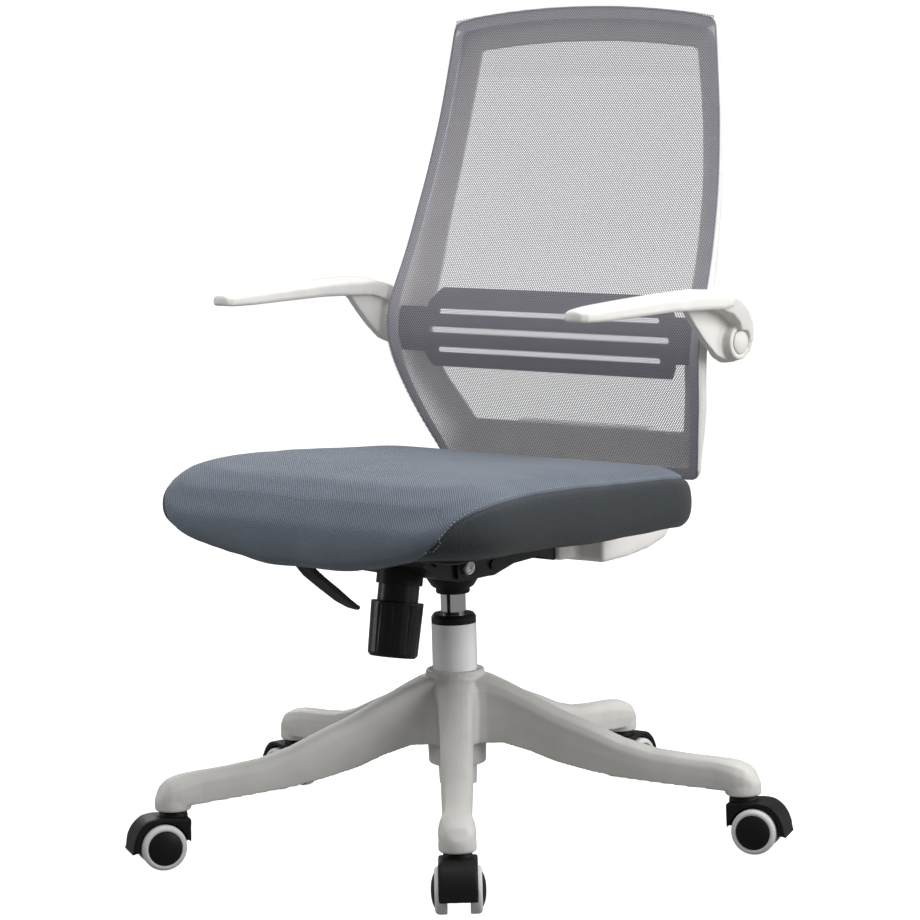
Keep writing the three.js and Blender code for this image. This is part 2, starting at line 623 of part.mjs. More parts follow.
function backShell() {
  const d = (z) => smooth(SHELL_DEPTH, z);
  const w = (z) => smooth(SHELL_WIDTH, z);
  // Below SHELL_TUCK_FROM the side wall turns inward toward the bottom corners.
  const tuck = (z) => Math.min(Math.max((SHELL_TUCK_FROM - z) / 140, 0), 1) ** 2;
  const wall = (inset, turnIn) => (z) => inset + turnIn * tuck(z);
  const section = [
    [wall(1, 0), 1, 1, () => 5.2],
    [wall(1.5, 7.5), 1.5, 1.5, (z) => 0.45 * d(z)],
    [wall(7, 15), 5, 7, (z) => 0.78 * d(z)],
    [wall(17, 15), 14, 17, (z) => 0.96 * d(z)],
    [w, 41, 52, d],
    [w, 41, 52, (z) => d(z) - 3.5],
    [wall(18, 15), 15, 18, (z) => 0.96 * d(z) - 3.6],
    [wall(10.5, 15), 9, 10.5, (z) => 0.78 * d(z) - 2.6],
    [wall(5.5, 7.5), 5.5, 5.5, (z) => 0.45 * d(z) + 0.4],
    [wall(5, 0), 5, 5, () => 5.2],
  ];
  const loops = section.map(([side, top, bottom, behind]) => {
    const radius = Math.max(BACK_CORNER_R - side(600) * 0.2, 6);
    return backLoop(side, top, bottom, behind, radius);
  });
  return skinned(loops, { closed: true });
}

function meshCarrier() {
  const section = [[0.6, 2.1], [0.6, 4.7], [13.5, 4.7], [13.5, 2.1]];
  const loops = section.map(([inset, behind]) => (
    backLoop(inset, inset, inset, () => behind, BACK_CORNER_R - inset * 0.5)));
  return skinned(loops, { closed: true });
}

function backMesh() {
  const front = backLoop(0, 0, 0, () => 0, BACK_CORNER_R);
  const rear = backLoop(0, 0, 0, () => 1.3, BACK_CORNER_R);
  return skinned([front, rear], { cap: strapCap });
}

function lumbarPlate() {
  const rows = [[504, 174], [514, 181], [521, 183], [521.5, 218], [540, 221.5], [556, 222], [573.5, 221],
    [574, 180], [582, 178], [596, 162]];
  const edge = (behind) => {
    const right = rows.map(([z, x]) => [x, smooth(RIM_DEPTH, z) + behind, z]);
    return [...right, ...right.map(([x, y, z]) => [-x, y, z]).reverse()];
  };
  const plate = skinned([edge(LUMBAR_BACK), edge(LUMBAR_BACK + 3)], { cap: strapCap });
  const slots = [[569.1, 160], [547.7, 175], [524.5, 161.5]]
    .map(([z, half]) => block(-half, half, 150, 220, z - 3, z + 3));
  return cut(plate, ...slots);
}

// ---------------------------------------------------------------- armrests
function armPad() {
  const stations = [[-94, 250, 257, 603, 597], [-92, 242, 264, 606, 594.5], [-86, 238, 269, 607.5, 593.4],
    [-74, 235.5, 272, 608.5, 593], [-56, ARM_IN, 273, 609.5, 592.6], [-10, ARM_IN, 273, 611, 592.6],
    [60, ARM_IN, ARM_OUT, 612.5, 592.4], [110, ARM_IN, ARM_OUT, 612.5, 590], [150, ARM_IN, ARM_OUT, 609, 588],
    [166, ARM_IN, ARM_OUT, 603.4, 590]];
  const loops = stations.map(([y, a, b, top, low]) => {
    const w = (b - a) / 2;
    const c = (a + b) / 2;
    const h = top - low;
    return [[-w * 0.9, 0], [-w, h * 0.15], [-w, h * 0.62], [-w * 0.86, h * 0.8],
      [-w * 0.45, h * 0.97], [0, h], [w * 0.45, h * 0.97], [w * 0.86, h * 0.8],
      [w, h * 0.62], [w, h * 0.15], [w * 0.9, 0]]
      .map(([x, z]) => [c + x, y, low + z]);
  });
  return skinned(loops);
}

// The strap sweeps from the pad down round the back of the pivot, narrowing toward the boss.
function armStrap() {
  const outline = [[100, 591.5], [100, 604], [150, 604.5], [165, 602], [180, 597], [199, 583], [211, 567.5],
    [215.5, 552], [212.5, 537], [203, 530], [196, 546], [193, 559], [184, 571], [170, 581], [146, 588]];
  const band = sideProfile(outline, ARM_IN + 0.3, ARM_OUT - 0.2);
  const p = band.getAttribute("position");
  for (let i = 0; i < p.count; i++) {
    if (p.getX(i) > 250) p.setX(i, p.getX(i) - 0.2 * Math.max(0, 603 - p.getZ(i)));
  }
  return band;
}

function armWeb() {
  return sideProfile([[106, 592], [150, 589], [176, 580], [192, 566], [205, 548], [196, 525], [176, 531],
    [164, 536], [144, 553], [125, 573], [113, 587]], 239, 248);
}

function armBoss() {
  return turned([[0, 232], [23, 232], [24, 234], [23.5, 240], [19.5, 257], [18.6, ARM_BOSS_OUT],
    [0, ARM_BOSS_OUT]]).rotateY(Math.PI / 2).translate(0, ...ARM_PIVOT);
}

function armrest() {
  const bore = crossBar(9 + GAP, 220, 270, ...ARM_PIVOT);
  const capSeat = crossBar(13 + GAP, ARM_BOSS_OUT - 3, 270, ...ARM_PIVOT);
  return cut(join(armPad(), armStrap(), armWeb(), armBoss()), bore, capSeat);
}

// A lug on the side of the back carries the spigot that the armrest turns on.
function armBracket() {
  const [py, pz] = ARM_PIVOT;
  const lug = turned([[0, 226.5], [20, 226.5], [21, 228], [21, 231.7], [9, 231.7], [9, ARM_BOSS_OUT - 3.6],
    [0, ARM_BOSS_OUT - 3.6]]).rotateY(Math.PI / 2).translate(0, py, pz);
  const foot = block(217.5, 229, py + 2, py + 12, pz - 15, pz + 15);
  return join(lug, foot);
}

function armCap() {
  const dome = turned([[0, ARM_BOSS_OUT - 2.7], [13, ARM_BOSS_OUT - 2.7], [13, ARM_BOSS_OUT + 0.6],
    [11.5, ARM_BOSS_OUT + 1.6], [0, ARM_BOSS_OUT + 2]]);
  return dome.rotateY(Math.PI / 2).translate(0, ...ARM_PIVOT);
}

function mirrored(geometry) {
  const flat = geometry.index ? geometry.toNonIndexed() : geometry.clone();
  flat.deleteAttribute("normal");
  flat.deleteAttribute("uv");
  const p = flat.getAttribute("position").array;
  for (let i = 0; i < p.length; i += 3) p[i] = -p[i];
  for (let i = 0; i < p.length; i += 9) {
    for (let k = 0; k < 3; k++) [p[i + 3 + k], p[i + 6 + k]] = [p[i + 6 + k], p[i + 3 + k]];
  }
  return flat;
}

// ---------------------------------------------------------------- assembly
const chair = new THREE.Group();
chair.name = "mesh_back_office_chair";

function place(name, geometry, finish) {
  const mesh = new THREE.Mesh(geometry.translate(...COLUMN_AT, 0), new THREE.MeshStandardMaterial(finish));
  mesh.name = name;
  chair.add(mesh);
}

place("star_base", starBase(), WHITE);
legAngles().forEach((angle, i) => {
  for (const [part, [geometry, finish]] of Object.entries(caster(angle))) {
    place(`caster_${i + 1}_${part}`, geometry, finish);
  }
});
place("column_tube", columnTube(), WHITE);
place("guide_bush", guideBush(), BLACK);
place("gas_cylinder", gasCylinder(), CHROME);
place("piston_rod", pistonRod(), STEEL);
place("thrust_bearing", thrustBearing(), STEEL);
place("retaining_clip", retainingClip(), STEEL);
place("release_button", releaseButton(), STEEL);
place("dust_collar", dustCollar(), BLACK);
place("mechanism_housing", mechanismHousing(), BLACK_STEEL);
place("seat_plate", seatPlate(), BLACK_STEEL);
place("seat_axle", seatAxle(), STEEL);
place("back_arm", backArm(), BLACK_STEEL);
place("recline_bolt", pivotBolt(6, 8, ...RECLINE_PIVOT), STEEL);
place("arm_rivet_left", armRivet(1), BLACK_STEEL);
place("arm_rivet_right", armRivet(-1), BLACK_STEEL);
place("spring_housing", springHousing(), BLACK);
place("tilt_spring", tiltSpring(), STEEL);
place("tension_bolt", tensionBolt(), STEEL);
place("tension_knob", tensionKnob(), BLACK);
place("lever_rod", leverRod(), STEEL);
place("lever_paddle", leverPaddle(), BLACK);
place("back_bracket", backBracket(), WHITE);
place("seat_pan", seatPan(), BLACK);
place("seat_cushion", seatCushion(), SEAT_GREY);
place("back_shell", backShell(), WHITE);
place("mesh_carrier", meshCarrier(), CARRIER_GREY);
place("back_mesh", backMesh(), MESH_GREY);
place("lumbar_plate", lumbarPlate(), CARRIER_GREY);
for (const [side, fit] of [["left", (g) => g], ["right", mirrored]]) {
  place(`armrest_${side}`, fit(armrest()), WHITE);
  place(`arm_bracket_${side}`, fit(armBracket()), WHITE);
  place(`arm_cap_${side}`, fit(armCap()), WHITE);
}

export default chair;
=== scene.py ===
"""Mesh-back office chair: the visible pieces and their finishes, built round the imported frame."""
import json
import logging
import math
from dataclasses import dataclass
from enum import Enum
from typing import Callable, Optional, Sequence, Union

import bmesh
import bpy
import numpy as np
from mathutils import Matrix, Vector
from mathutils.bvhtree import BVHTree
from mathutils.kdtree import KDTree

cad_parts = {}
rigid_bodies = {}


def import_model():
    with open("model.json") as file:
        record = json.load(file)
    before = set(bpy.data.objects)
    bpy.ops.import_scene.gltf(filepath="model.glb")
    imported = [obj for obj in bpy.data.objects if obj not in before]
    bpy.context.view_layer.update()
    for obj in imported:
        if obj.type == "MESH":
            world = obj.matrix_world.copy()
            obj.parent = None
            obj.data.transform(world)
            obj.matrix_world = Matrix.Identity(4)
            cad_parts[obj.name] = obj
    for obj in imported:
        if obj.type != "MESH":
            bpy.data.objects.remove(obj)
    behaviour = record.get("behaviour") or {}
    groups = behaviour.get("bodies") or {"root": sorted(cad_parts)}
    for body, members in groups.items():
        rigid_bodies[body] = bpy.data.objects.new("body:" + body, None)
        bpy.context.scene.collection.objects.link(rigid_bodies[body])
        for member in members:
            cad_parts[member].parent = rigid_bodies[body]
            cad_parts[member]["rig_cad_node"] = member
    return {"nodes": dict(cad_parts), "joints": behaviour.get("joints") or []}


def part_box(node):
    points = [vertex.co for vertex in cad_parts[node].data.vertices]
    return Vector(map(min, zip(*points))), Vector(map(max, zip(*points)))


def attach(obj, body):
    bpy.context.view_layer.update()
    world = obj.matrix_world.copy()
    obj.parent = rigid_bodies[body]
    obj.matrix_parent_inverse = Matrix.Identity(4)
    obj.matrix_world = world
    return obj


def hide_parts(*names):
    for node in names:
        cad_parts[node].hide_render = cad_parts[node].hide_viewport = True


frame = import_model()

MM = 0.001
LOG = logging.getLogger("office_chair")
UPWARD = Vector((0, 0, 1))
CASTERS = range(1, 6)
WHITE_LIGHT = (1, 1, 1, 1)
Colour = tuple[float, float, float]
Table = tuple[tuple[float, float], ...]
Point = tuple[float, float, float]
Face = tuple[int, ...]


# ---------------------------------------------------------------- shader building
class Wire:
    """An output socket of a shader node, with the arithmetic that the finishes use."""

    def __init__(self, shader: "Shader", socket: bpy.types.NodeSocket) -> None:
        """Holds the socket and the shader that it belongs to."""
        self.shader = shader
        self.socket = socket

    def _maths(self, operation: str, first: "Value", second: "Value" = 0.0) -> "Wire":
        """Adds one Math node.

        Args:
            operation: The Math node's operation.
            first: Its first value.
            second: Its second value.

        Returns:
            The node's output.
        """
        return self.shader.node("ShaderNodeMath", {"operation": operation}, {0: first, 1: second})

    def __add__(self, other: "Value") -> "Wire":
        """Adds."""
        return self._maths("ADD", self, other)

    def __radd__(self, other: "Value") -> "Wire":
        """Adds, with the wire on the right."""
        return self._maths("ADD", other, self)

    def __sub__(self, other: "Value") -> "Wire":
        """Subtracts."""
        return self._maths("SUBTRACT", self, other)

    def __rsub__(self, other: "Value") -> "Wire":
        """Subtracts, with the wire on the right."""
        return self._maths("SUBTRACT", other, self)

    def __mul__(self, other: "Value") -> "Wire":
        """Multiplies."""
        return self._maths("MULTIPLY", self, other)

    def __rmul__(self, other: "Value") -> "Wire":
        """Multiplies, with the wire on the right."""
        return self._maths("MULTIPLY", other, self)

    def __truediv__(self, other: "Value") -> "Wire":
        """Divides."""
        return self._maths("DIVIDE", self, other)

    def sine(self) -> "Wire":
        """Gives the sine."""
        return self._maths("SINE", self)

    def fract(self) -> "Wire":
        """Gives the part after the decimal point."""
        return self._maths("FRACT", self)

    def floor(self) -> "Wire":
        """Gives the whole number below."""
        return self._maths("FLOOR", self)

    def size(self) -> "Wire":
        """Gives the value without its sign."""
        return self._maths("ABSOLUTE", self)

    def larger(self, other: "Value") -> "Wire":
        """Gives the larger of two values."""
        return self._maths("MAXIMUM", self, other)

    def step(self, low: float, high: float) -> "Wire":
        """Rises smoothly from 0 to 1.

        Args:
            low: The value at which it is still 0.
            high: The value at which it is 1.

        Returns:
            The stepped value.
        """
        settings = {"interpolation_type": "SMOOTHSTEP"}
        return self.shader.node("ShaderNodeMapRange", settings, {0: self, 1: low, 2: high})


Value = Union[Wire, float, Sequence[float]]


class Shader:
    """A node material while it is being built."""

    def __init__(self, name: str) -> None:
        """Starts an empty material of that name."""
        self.material = bpy.data.materials.new(name)
        self.material.use_nodes = True
        self.tree = self.material.node_tree
        self.tree.nodes.clear()

    def node(self, kind: str, settings: Optional[dict] = None, inputs: Optional[dict] = None,
             output: Union[int, str, None] = 0) -> Optional[Wire]:
        """Adds a node, sets it up and feeds its sockets.

        Args:
            kind: The node's type.
            settings: Its properties, set before the sockets.
            inputs: A value or a wire for each socket, by number or name.
            output: The socket that is returned, or None for a node that ends the material.

        Returns:
            The chosen output.
        """
        made = self.tree.nodes.new(kind)
        for key, value in (settings or {}).items():
            setattr(made, key, value)
        for key, value in (inputs or {}).items():
            if isinstance(value, Wire):
                self.tree.links.new(value.socket, made.inputs[key])
            else:
                made.inputs[key].default_value = value
        return None if output is None else Wire(self, made.outputs[output])

    def place(self) -> Wire:
        """Gives the piece's own coordinates, in metres."""
        return self.node("ShaderNodeTexCoord", output="Object")

    def axes(self, kind: str = "Object") -> tuple[Wire, Wire, Wire]:
        """Gives x, y and z.

        Args:
            kind: Object for the point's place, or Normal for the way that it faces.

        Returns:
            The three numbers, in the piece's own frame.
        """
        where = self.node("ShaderNodeTexCoord", output=kind)
        split = self.node("ShaderNodeSeparateXYZ", inputs={0: where})
        outputs = split.socket.node.outputs
        return Wire(self, outputs[0]), Wire(self, outputs[1]), Wire(self, outputs[2])

    def noise(self, size: float, detail: float = 2.0, stretch: Point = (1, 1, 1)) -> Wire:
        """Adds a noise pattern.

        Args:
            size: The size of its patches in metres.
            detail: The number of finer layers.
            stretch: How much finer the pattern is along each axis.

        Returns:
            A value from 0 to 1.
        """
        where = self.node("ShaderNodeVectorMath", {"operation": "MULTIPLY"},
                          {0: self.place(), 1: stretch})
        return self.node("ShaderNodeTexNoise", {"noise_dimensions": "3D"},
                         {"Vector": where, "Scale": 1 / size, "Detail": detail})

    def blend(self, share: Value, first: Value, second: Value) -> Wire:
        """Mixes two colours.

        Args:
            share: How much of the second, from 0 to 1.
            first: The first colour.
            second: The second colour.

        Returns:
            The mixed colour.
        """
        colours = {6: opaque(first), 7: opaque(second)}
        return self.node("ShaderNodeMix", {"data_type": "RGBA"}, {0: share, **colours}, output=2)

    def tint(self, first: Value, second: Value) -> Wire:
        """Multiplies two colours."""
        settings = {"data_type": "RGBA", "blend_type": "MULTIPLY"}
        colours = {0: 1.0, 6: opaque(first), 7: opaque(second)}
        return self.node("ShaderNodeMix", settings, colours, output=2)

    def attribute(self, name: str) -> Wire:
        """Reads a number that the piece stores at its points."""
        return self.node("ShaderNodeAttribute", {"attribute_name": name}, output="Fac")

    def bump(self, height: Wire, depth: float, strength: float = 1.0) -> Wire:
        """Turns a height from 0 to 1 into a normal.

        Args:
            height: The pattern.
            depth: Its depth in metres.
            strength: How much of it shows.

        Returns:
            The normal.
        """
        return self.node("ShaderNodeBump", None,
                         {"Height": height, "Distance": depth, "Strength": strength})

    def surface(self, inputs: dict) -> bpy.types.Material:
        """Ends the material in a Principled shader.

        Args:
            inputs: A value or wire for each of its sockets, by name.

        Returns:
            The finished material.
        """
        shader = self.node("ShaderNodeBsdfPrincipled", None, inputs)
        self.node("ShaderNodeOutputMaterial", None, {"Surface": shader}, None)
        return self.material


def opaque(colour: Value) -> Value:
    """Adds the fourth number to a plain colour, and leaves a wire as it is."""
    return colour if isinstance(colour, Wire) else (*colour[:3], 1.0)


def linear(red: int, green: int, blue: int) -> Colour:
    """Turns a display colour, 0 to 255, into the linear one that shaders take."""
    scaled = [value / 255 for value in (red, green, blue)]
    return tuple(v / 12.92 if v <= 0.04045 else ((v + 0.055) / 1.055) ** 2.4 for v in scaled)


def dimmed(colour: Colour, share: float) -> Colour:
    """Gives the colour at that share of its brightness."""
    return tuple(c * share for c in colour)


# ---------------------------------------------------------------- finishes
@dataclass(frozen=True)
class Moulding:
    """Moulded or coated surface: a fine grain over faint cloudy shading."""

    name: str
    colour: Colour
    roughness: float = 0.45
    grain: float = 0.9 * MM
    depth: float = 0.03 * MM
    metallic: float = 0.0
    coat: float = 0.0
    shine: float = 0.5
    cloud: float = 38 * MM
    handling: float = 9 * MM

    def make(self) -> bpy.types.Material:
        """Builds the material."""
        shader = Shader(self.name)
        cloud = shader.noise(self.cloud, 3.0)
        grain = shader.noise(self.grain, 2.0)
        handling = shader.noise(self.handling, 4.0)
        colour = shader.blend(cloud.step(0.35, 0.68), dimmed(self.colour, 0.94), self.colour)
        rough = self.roughness + (grain - 0.5) * 0.1 + (handling - 0.5) * 0.12
        return shader.surface({
            "Base Color": colour, "Roughness": rough, "Metallic": self.metallic,
            "Specular IOR Level": self.shine, "Coat Weight": self.coat, "Coat Roughness": 0.08,
            "Normal": shader.bump(grain, self.depth),
        })


@dataclass(frozen=True)
class BareMetal:
    """Turned or drawn metal, with fine marks along one axis."""

    name: str
    colour: Colour
    roughness: float
    marks: Point = (60, 60, 4)
    depth: float = 0.006 * MM
    mark_size: float = 20 * MM
    smudge: float = 14 * MM

    def make(self) -> bpy.types.Material:
        """Builds the material."""
        shader = Shader(self.name)
        lines = shader.noise(self.mark_size, 3.0, self.marks)
        smudge = shader.noise(self.smudge, 3.0)
        colour = shader.blend(smudge, dimmed(self.colour, 0.9), self.colour)
        rough = self.roughness + lines * 0.08 + smudge * 0.05
        return shader.surface({
            "Base Color": colour, "Roughness": rough, "Metallic": 1.0,
            "Normal": shader.bump(lines, self.depth),
        })


@dataclass(frozen=True)
class Twill:
    """Woven seat cloth: a diagonal rib crossed by a weaker one, with loose fibre on top."""

    name: str
    colour: Colour
    side: Colour
    pitch: float = 3.1 * MM
    depth: float = 0.4 * MM
    fibre: float = 0.8 * MM
    wear: float = 60 * MM
    turn_width: float = 0.02

    def make(self) -> bpy.types.Material:
        """Builds the material. The rib follows whichever two axes the cloth lies along."""
        shader = Shader(self.name)
        x, y, z = shader.axes()
        face_x, face_y, face_z = (way.size() for way in shader.axes("Normal"))
        sideways = (face_x - face_y.larger(face_z)).step(-self.turn_width, self.turn_width)
        forward = (face_y - face_x.larger(face_z)).step(-self.turn_width, self.turn_width)
        along = x + (y - x) * sideways
        across = y + (z - y) * (sideways + forward)
        turn = 2 * math.pi / self.pitch
        rib = ((along + across) * turn).sine()
        cross = ((along - across) * turn).sine()
        fibre = shader.noise(self.fibre, 3.0)
        wear = shader.noise(self.wear, 3.0)
        height = 0.5 + rib * 0.3 + rib * cross * 0.2
        woven = height + (fibre - 0.5) * 0.5
        panel = shader.attribute("side_panel")
        seam = shader.attribute("seam")
        cloth = shader.blend(panel, self.colour, self.side)
        shade = shader.blend(woven.step(0.1, 0.9), (0.42, 0.42, 0.42), (1, 1, 1))
        # Painted shade: the cloth is darkened along the seam groove, where the seam attribute is
        # high.
        shade = shader.blend(seam * 0.7, shade, (0.12, 0.12, 0.12))
        shade = shader.blend(wear.step(0.4, 0.8) * 0.3, shade, (1, 1, 1))
        colour = shader.tint(cloth, shade)
        return shader.surface({
            "Base Color": colour, "Roughness": 0.86 + (fibre - 0.5) * 0.2,
            "Specular IOR Level": 0.15, "Sheen Weight": 0.12, "Sheen Roughness": 0.5,
            "Normal": shader.bump(woven, self.depth, 0.7),
        })


@dataclass(frozen=True)
class OpenMesh:
    """Knitted back mesh: staggered rows of small holes between flat threads."""

    name: str
    colour: Colour
    row: float = 1.85 * MM
    column: float = 3.3 * MM
    hole: tuple[float, float] = (0.29, 0.43)
    fibre: float = 1.1 * MM
    depth: float = 0.2 * MM

    def make(self) -> bpy.types.Material:
        """Builds the material. The pattern is see-through inside each hole."""
        shader = Shader(self.name)
        x, _, z = shader.axes()
        rows = z / self.row
        shift = (rows.floor() * 0.5).fract()
        across = ((x / self.column + shift).fract() - 0.5) / self.hole[0]
        up = (rows.fract() - 0.5) / self.hole[1]
        reach = across * across + up * up
        thread = reach.step(0.85, 1.12)
        fibre = shader.noise(self.fibre, 2.0)
        colour = shader.blend(fibre, dimmed(self.colour, 0.8), dimmed(self.colour, 1.15))
        return shader.surface({
            "Base Color": colour, "Roughness": 0.7 + (fibre - 0.5) * 0.2,
            "Alpha": thread, "Sheen Weight": 0.2, "Sheen Roughness": 0.4,
            "Normal": shader.bump(reach.step(0.8, 2.2), self.depth, 0.5),
        })


class Finish(Enum):
    """Every finish of the chair. The value is how it is made."""

    WHITE = Moulding("white_moulding", linear(234, 231, 227), 0.42)
    # Painted shade: the same white plastic, made darker for the shade that the base sits in under
    # the seat.
    SHADED_WHITE_BASE = Moulding("white_base_painted_shade_moulding", linear(204, 202, 198), 0.5, depth=0.05 * MM)
    GLOSS_WHITE = Moulding("gloss_white_coat", linear(248, 249, 249), 0.16, coat=1.0)
    BLACK = Moulding("black_moulding", linear(20, 20, 20), 0.5, 0.8 * MM, 0.08 * MM, shine=0.2)
    SATIN_BLACK = Moulding("satin_black_moulding", linear(16, 15, 15), 0.34, 1.2 * MM, shine=0.28)
    BLACK_STEEL = Moulding("black_powder_coat", linear(25, 26, 24), 0.46, 0.7 * MM,
                           0.05 * MM, 0.1, shine=0.2)
    CARRIER = Moulding("grey_carrier_moulding", linear(222, 222, 228), 0.6)
    # Painted shade: the lumbar plate's dark grey stands in for the shade that it sits in behind the
    # mesh.
    SHADED_LUMBAR = Moulding("lumbar_painted_shade_moulding", linear(66, 66, 70), 0.6)
    TREAD = Moulding("grey_tread", linear(212, 209, 210), 0.62, 0.7 * MM, 0.05 * MM)
    CHROME = BareMetal("chrome", (0.82, 0.83, 0.84), 0.04, (8, 8, 0.3), 0.0005 * MM)
    STEEL = BareMetal("bright_steel", (0.74, 0.75, 0.76), 0.3)
    SEAT_CLOTH = Twill("seat_cloth", linear(118, 127, 139), linear(68, 73, 77))
    BACK_CLOTH = OpenMesh("back_mesh_cloth", linear(158, 156, 165))
    WELT = Moulding("mesh_welt", linear(150, 150, 157), 0.8, 0.9 * MM, 0.15 * MM)
    THREAD = Moulding("seam_thread", linear(146, 153, 160), 0.8, 0.5 * MM, 0.1 * MM)


class Paintbox:
    """Makes each finish once and puts it on pieces."""

    def __init__(self) -> None:
        """Starts with no finish made."""
        self.made: dict[Finish, bpy.types.Material] = {}

    def material(self, finish: Finish) -> bpy.types.Material:
        """Gives the finish's material, making it the first time."""
        if finish not in self.made:
            self.made[finish] = finish.value.make()
        return self.made[finish]

    def dress(self, piece: bpy.types.Object, *finishes: Finish) -> None:
        """Gives a piece its finishes.

        Args:
            piece: The piece.
            finishes: One finish for each material slot.
        """
        if "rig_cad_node" in piece and piece.material_slots:
            for slot in piece.material_slots:
                slot.link = "OBJECT"
                slot.material = self.material(finishes[0])
            return
        piece.data.materials.clear()
        for finish in finishes:
            piece.data.materials.append(self.material(finish))

    def mount(self, piece: bpy.types.Object, body: str, slot: str, *finishes: Finish,
              node: Optional[str] = None) -> None:
        """Finishes a piece and sets it on its body.

        Args:
            piece: The piece.
            body: The body that it rides on.
            slot: Its material slot in the record; not used.
            finishes: One finish for each of its own material slots.
            node: The CAD node that it stands for, where there is one.
        """
        self.dress(piece, *finishes)
        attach(piece, body)
        if node:
            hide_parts(node)
        LOG.info("%s: on %s, %d faces", piece.name, body, len(piece.data.polygons))


# ---------------------------------------------------------------- mesh helpers
def shade_smooth(mesh: bpy.types.Mesh) -> None:
    """Shades every face of a mesh smoothly."""
    mesh.polygons.foreach_set("use_smooth", [True] * len(mesh.polygons))


def add_piece(name: str, points: Sequence, faces: Sequence) -> bpy.types.Object:
    """Makes a smooth-shaded mesh piece.

    Args:
        name: The piece's name.
        points: Its points in metres.
        faces: Its faces, by point number.

    Returns:
        The new piece.
    """
    mesh = bpy.data.meshes.new(name)
    mesh.from_pydata([tuple(p) for p in points], [], [tuple(f) for f in faces])
    mesh.validate()
    shade_smooth(mesh)
    piece = bpy.data.objects.new(name, mesh)
    bpy.context.scene.collection.objects.link(piece)
    return piece


def settle(piece: bpy.types.Object) -> bpy.types.Object:
    """Applies a piece's modifiers.

    Args:
        piece: The piece.

    Returns:
        The same piece, with its final mesh.
    """
    bpy.context.view_layer.update()
    ready = piece.evaluated_get(bpy.context.evaluated_depsgraph_get())
    final = bpy.data.meshes.new_from_object(ready)
    shade_smooth(final)
    piece.modifiers.clear()
    piece.data = final
    return piece


def outward(piece: bpy.types.Object, weld: float = 0.0) -> None:
    """Turns a closed piece's faces so that they point out.

    Args:
        piece: The piece.
        weld: How near to one another points are joined first, in metres.
    """
    work = bmesh.new()
    work.from_mesh(piece.data)
    if weld:
        bmesh.ops.remove_doubles(work, verts=work.verts, dist=weld)
    bmesh.ops.recalc_face_normals(work, faces=work.faces)
    work.to_mesh(piece.data)
    work.free()
    shade_smooth(piece.data)


def band(rings: int, around: int, first: int = 0, closed: bool = False) -> list[Face]:
    """Joins rings of points, each to the next.

    Args:
        rings: The number of rings.
        around: The number of points in each.
        first: The number of the first point.
        closed: Whether the last ring joins the first.

    Returns:
        The four-sided faces between them.
    """
    faces = []
    for row in range(rings if closed else rings - 1):
        a, b = first + row * around, first + (row + 1) % rings * around
        for k in range(around):
            k2 = (k + 1) % around
            faces.append((a + k, a + k2, b + k2, b + k))
    return faces


def spun(outline: Table, foot: Vector, axis: Vector, side: Vector, other: Vector,
         segments: int) -> list[Vector]:
    """Turns an outline round an axis.

    Args:
        outline: Radius and distance along the axis, in millimetres.
        foot: The point from which the distances are measured.
        axis: The axis.
        side: The direction of each ring's first point.
        other: The direction that is square to the axis and to side.
        segments: The number of points in each ring.

    Returns:
        One ring of points after another.
    """
    points = []
    for r, h in outline:
        for k in range(segments):
            a = 2 * math.pi * k / segments
            spoke = side * math.cos(a) + other * math.sin(a)
            points.append(foot + (axis * h + spoke * r) * MM)
    return points


def subdivide(piece: bpy.types.Object) -> None:
    """Adds a modifier that rounds a piece and splits each of its faces in four."""
    finer = piece.modifiers.new("finer", "SUBSURF")
    finer.levels = finer.render_levels = 1


def copied(node: str, name: str, voxel: float, passes: int,
           share: float = 1.0) -> bpy.types.Object:
    """Makes a finer piece from a CAD node, with moulded edges.

    Args:
        node: The CAD node.
        name: The new piece's name.
        voxel: The spacing of its points in metres.
        passes: How many times its edges are eased.
        share: The share of its faces that is kept, the flat ones going first.

    Returns:
        The new piece, not yet riding on a body.
    """
    piece = bpy.data.objects.new(name, frame["nodes"][node].data.copy())
    bpy.context.scene.collection.objects.link(piece)
    remesh = piece.modifiers.new("even", "REMESH")
    remesh.mode = "VOXEL"
    remesh.voxel_size = voxel
    if passes:
        ease = piece.modifiers.new("ease", "SMOOTH")
        ease.factor = 0.5
        ease.iterations = passes
    if share < 1:
        thin = piece.modifiers.new("thin", "DECIMATE")
        thin.ratio = share
    return settle(piece)


def smooth_faces(weld: float = 0.01 * MM, sharp: float = math.radians(34)) -> bpy.types.NodeTree:
    """Makes the modifier that shades a faceted CAD node smoothly across its shallow edges.

    Args:
        weld: How near to one another points are joined, in metres.
        sharp: The angle past which an edge stays sharp.

    Returns:
        The modifier's node group.
    """
    group = bpy.data.node_groups.new("smooth_faces", "GeometryNodeTree")
    for way in ("INPUT", "OUTPUT"):
        group.interface.new_socket("Geometry", in_out=way, socket_type="NodeSocketGeometry")
    add = group.nodes.new
    start, end = add("NodeGroupInput"), add("NodeGroupOutput")
    plain, join = add("GeometryNodeRemoveAttribute"), add("GeometryNodeMergeByDistance")
    faces, edges = add("GeometryNodeSetShadeSmooth"), add("GeometryNodeSetShadeSmooth")
    angle, steep = add("GeometryNodeInputMeshEdgeAngle"), add("FunctionNodeCompare")
    plain.inputs["Name"].default_value = "custom_normal"
    join.inputs["Distance"].default_value = weld
    faces.domain, edges.domain = "FACE", "EDGE"
    steep.data_type, steep.operation = "FLOAT", "GREATER_THAN"
    steep.inputs[1].default_value = sharp
    edges.inputs["Shade Smooth"].default_value = False
    link = group.links.new
    link(start.outputs[0], plain.inputs[0])
    link(plain.outputs[0], join.inputs[0])
    link(join.outputs[0], faces.inputs["Geometry"])
    link(faces.outputs[0], edges.inputs["Geometry"])
    link(angle.outputs[0], steep.inputs[0])
    link(steep.outputs[0], edges.inputs["Selection"])
    link(edges.outputs[0], end.inputs[0])
    return group


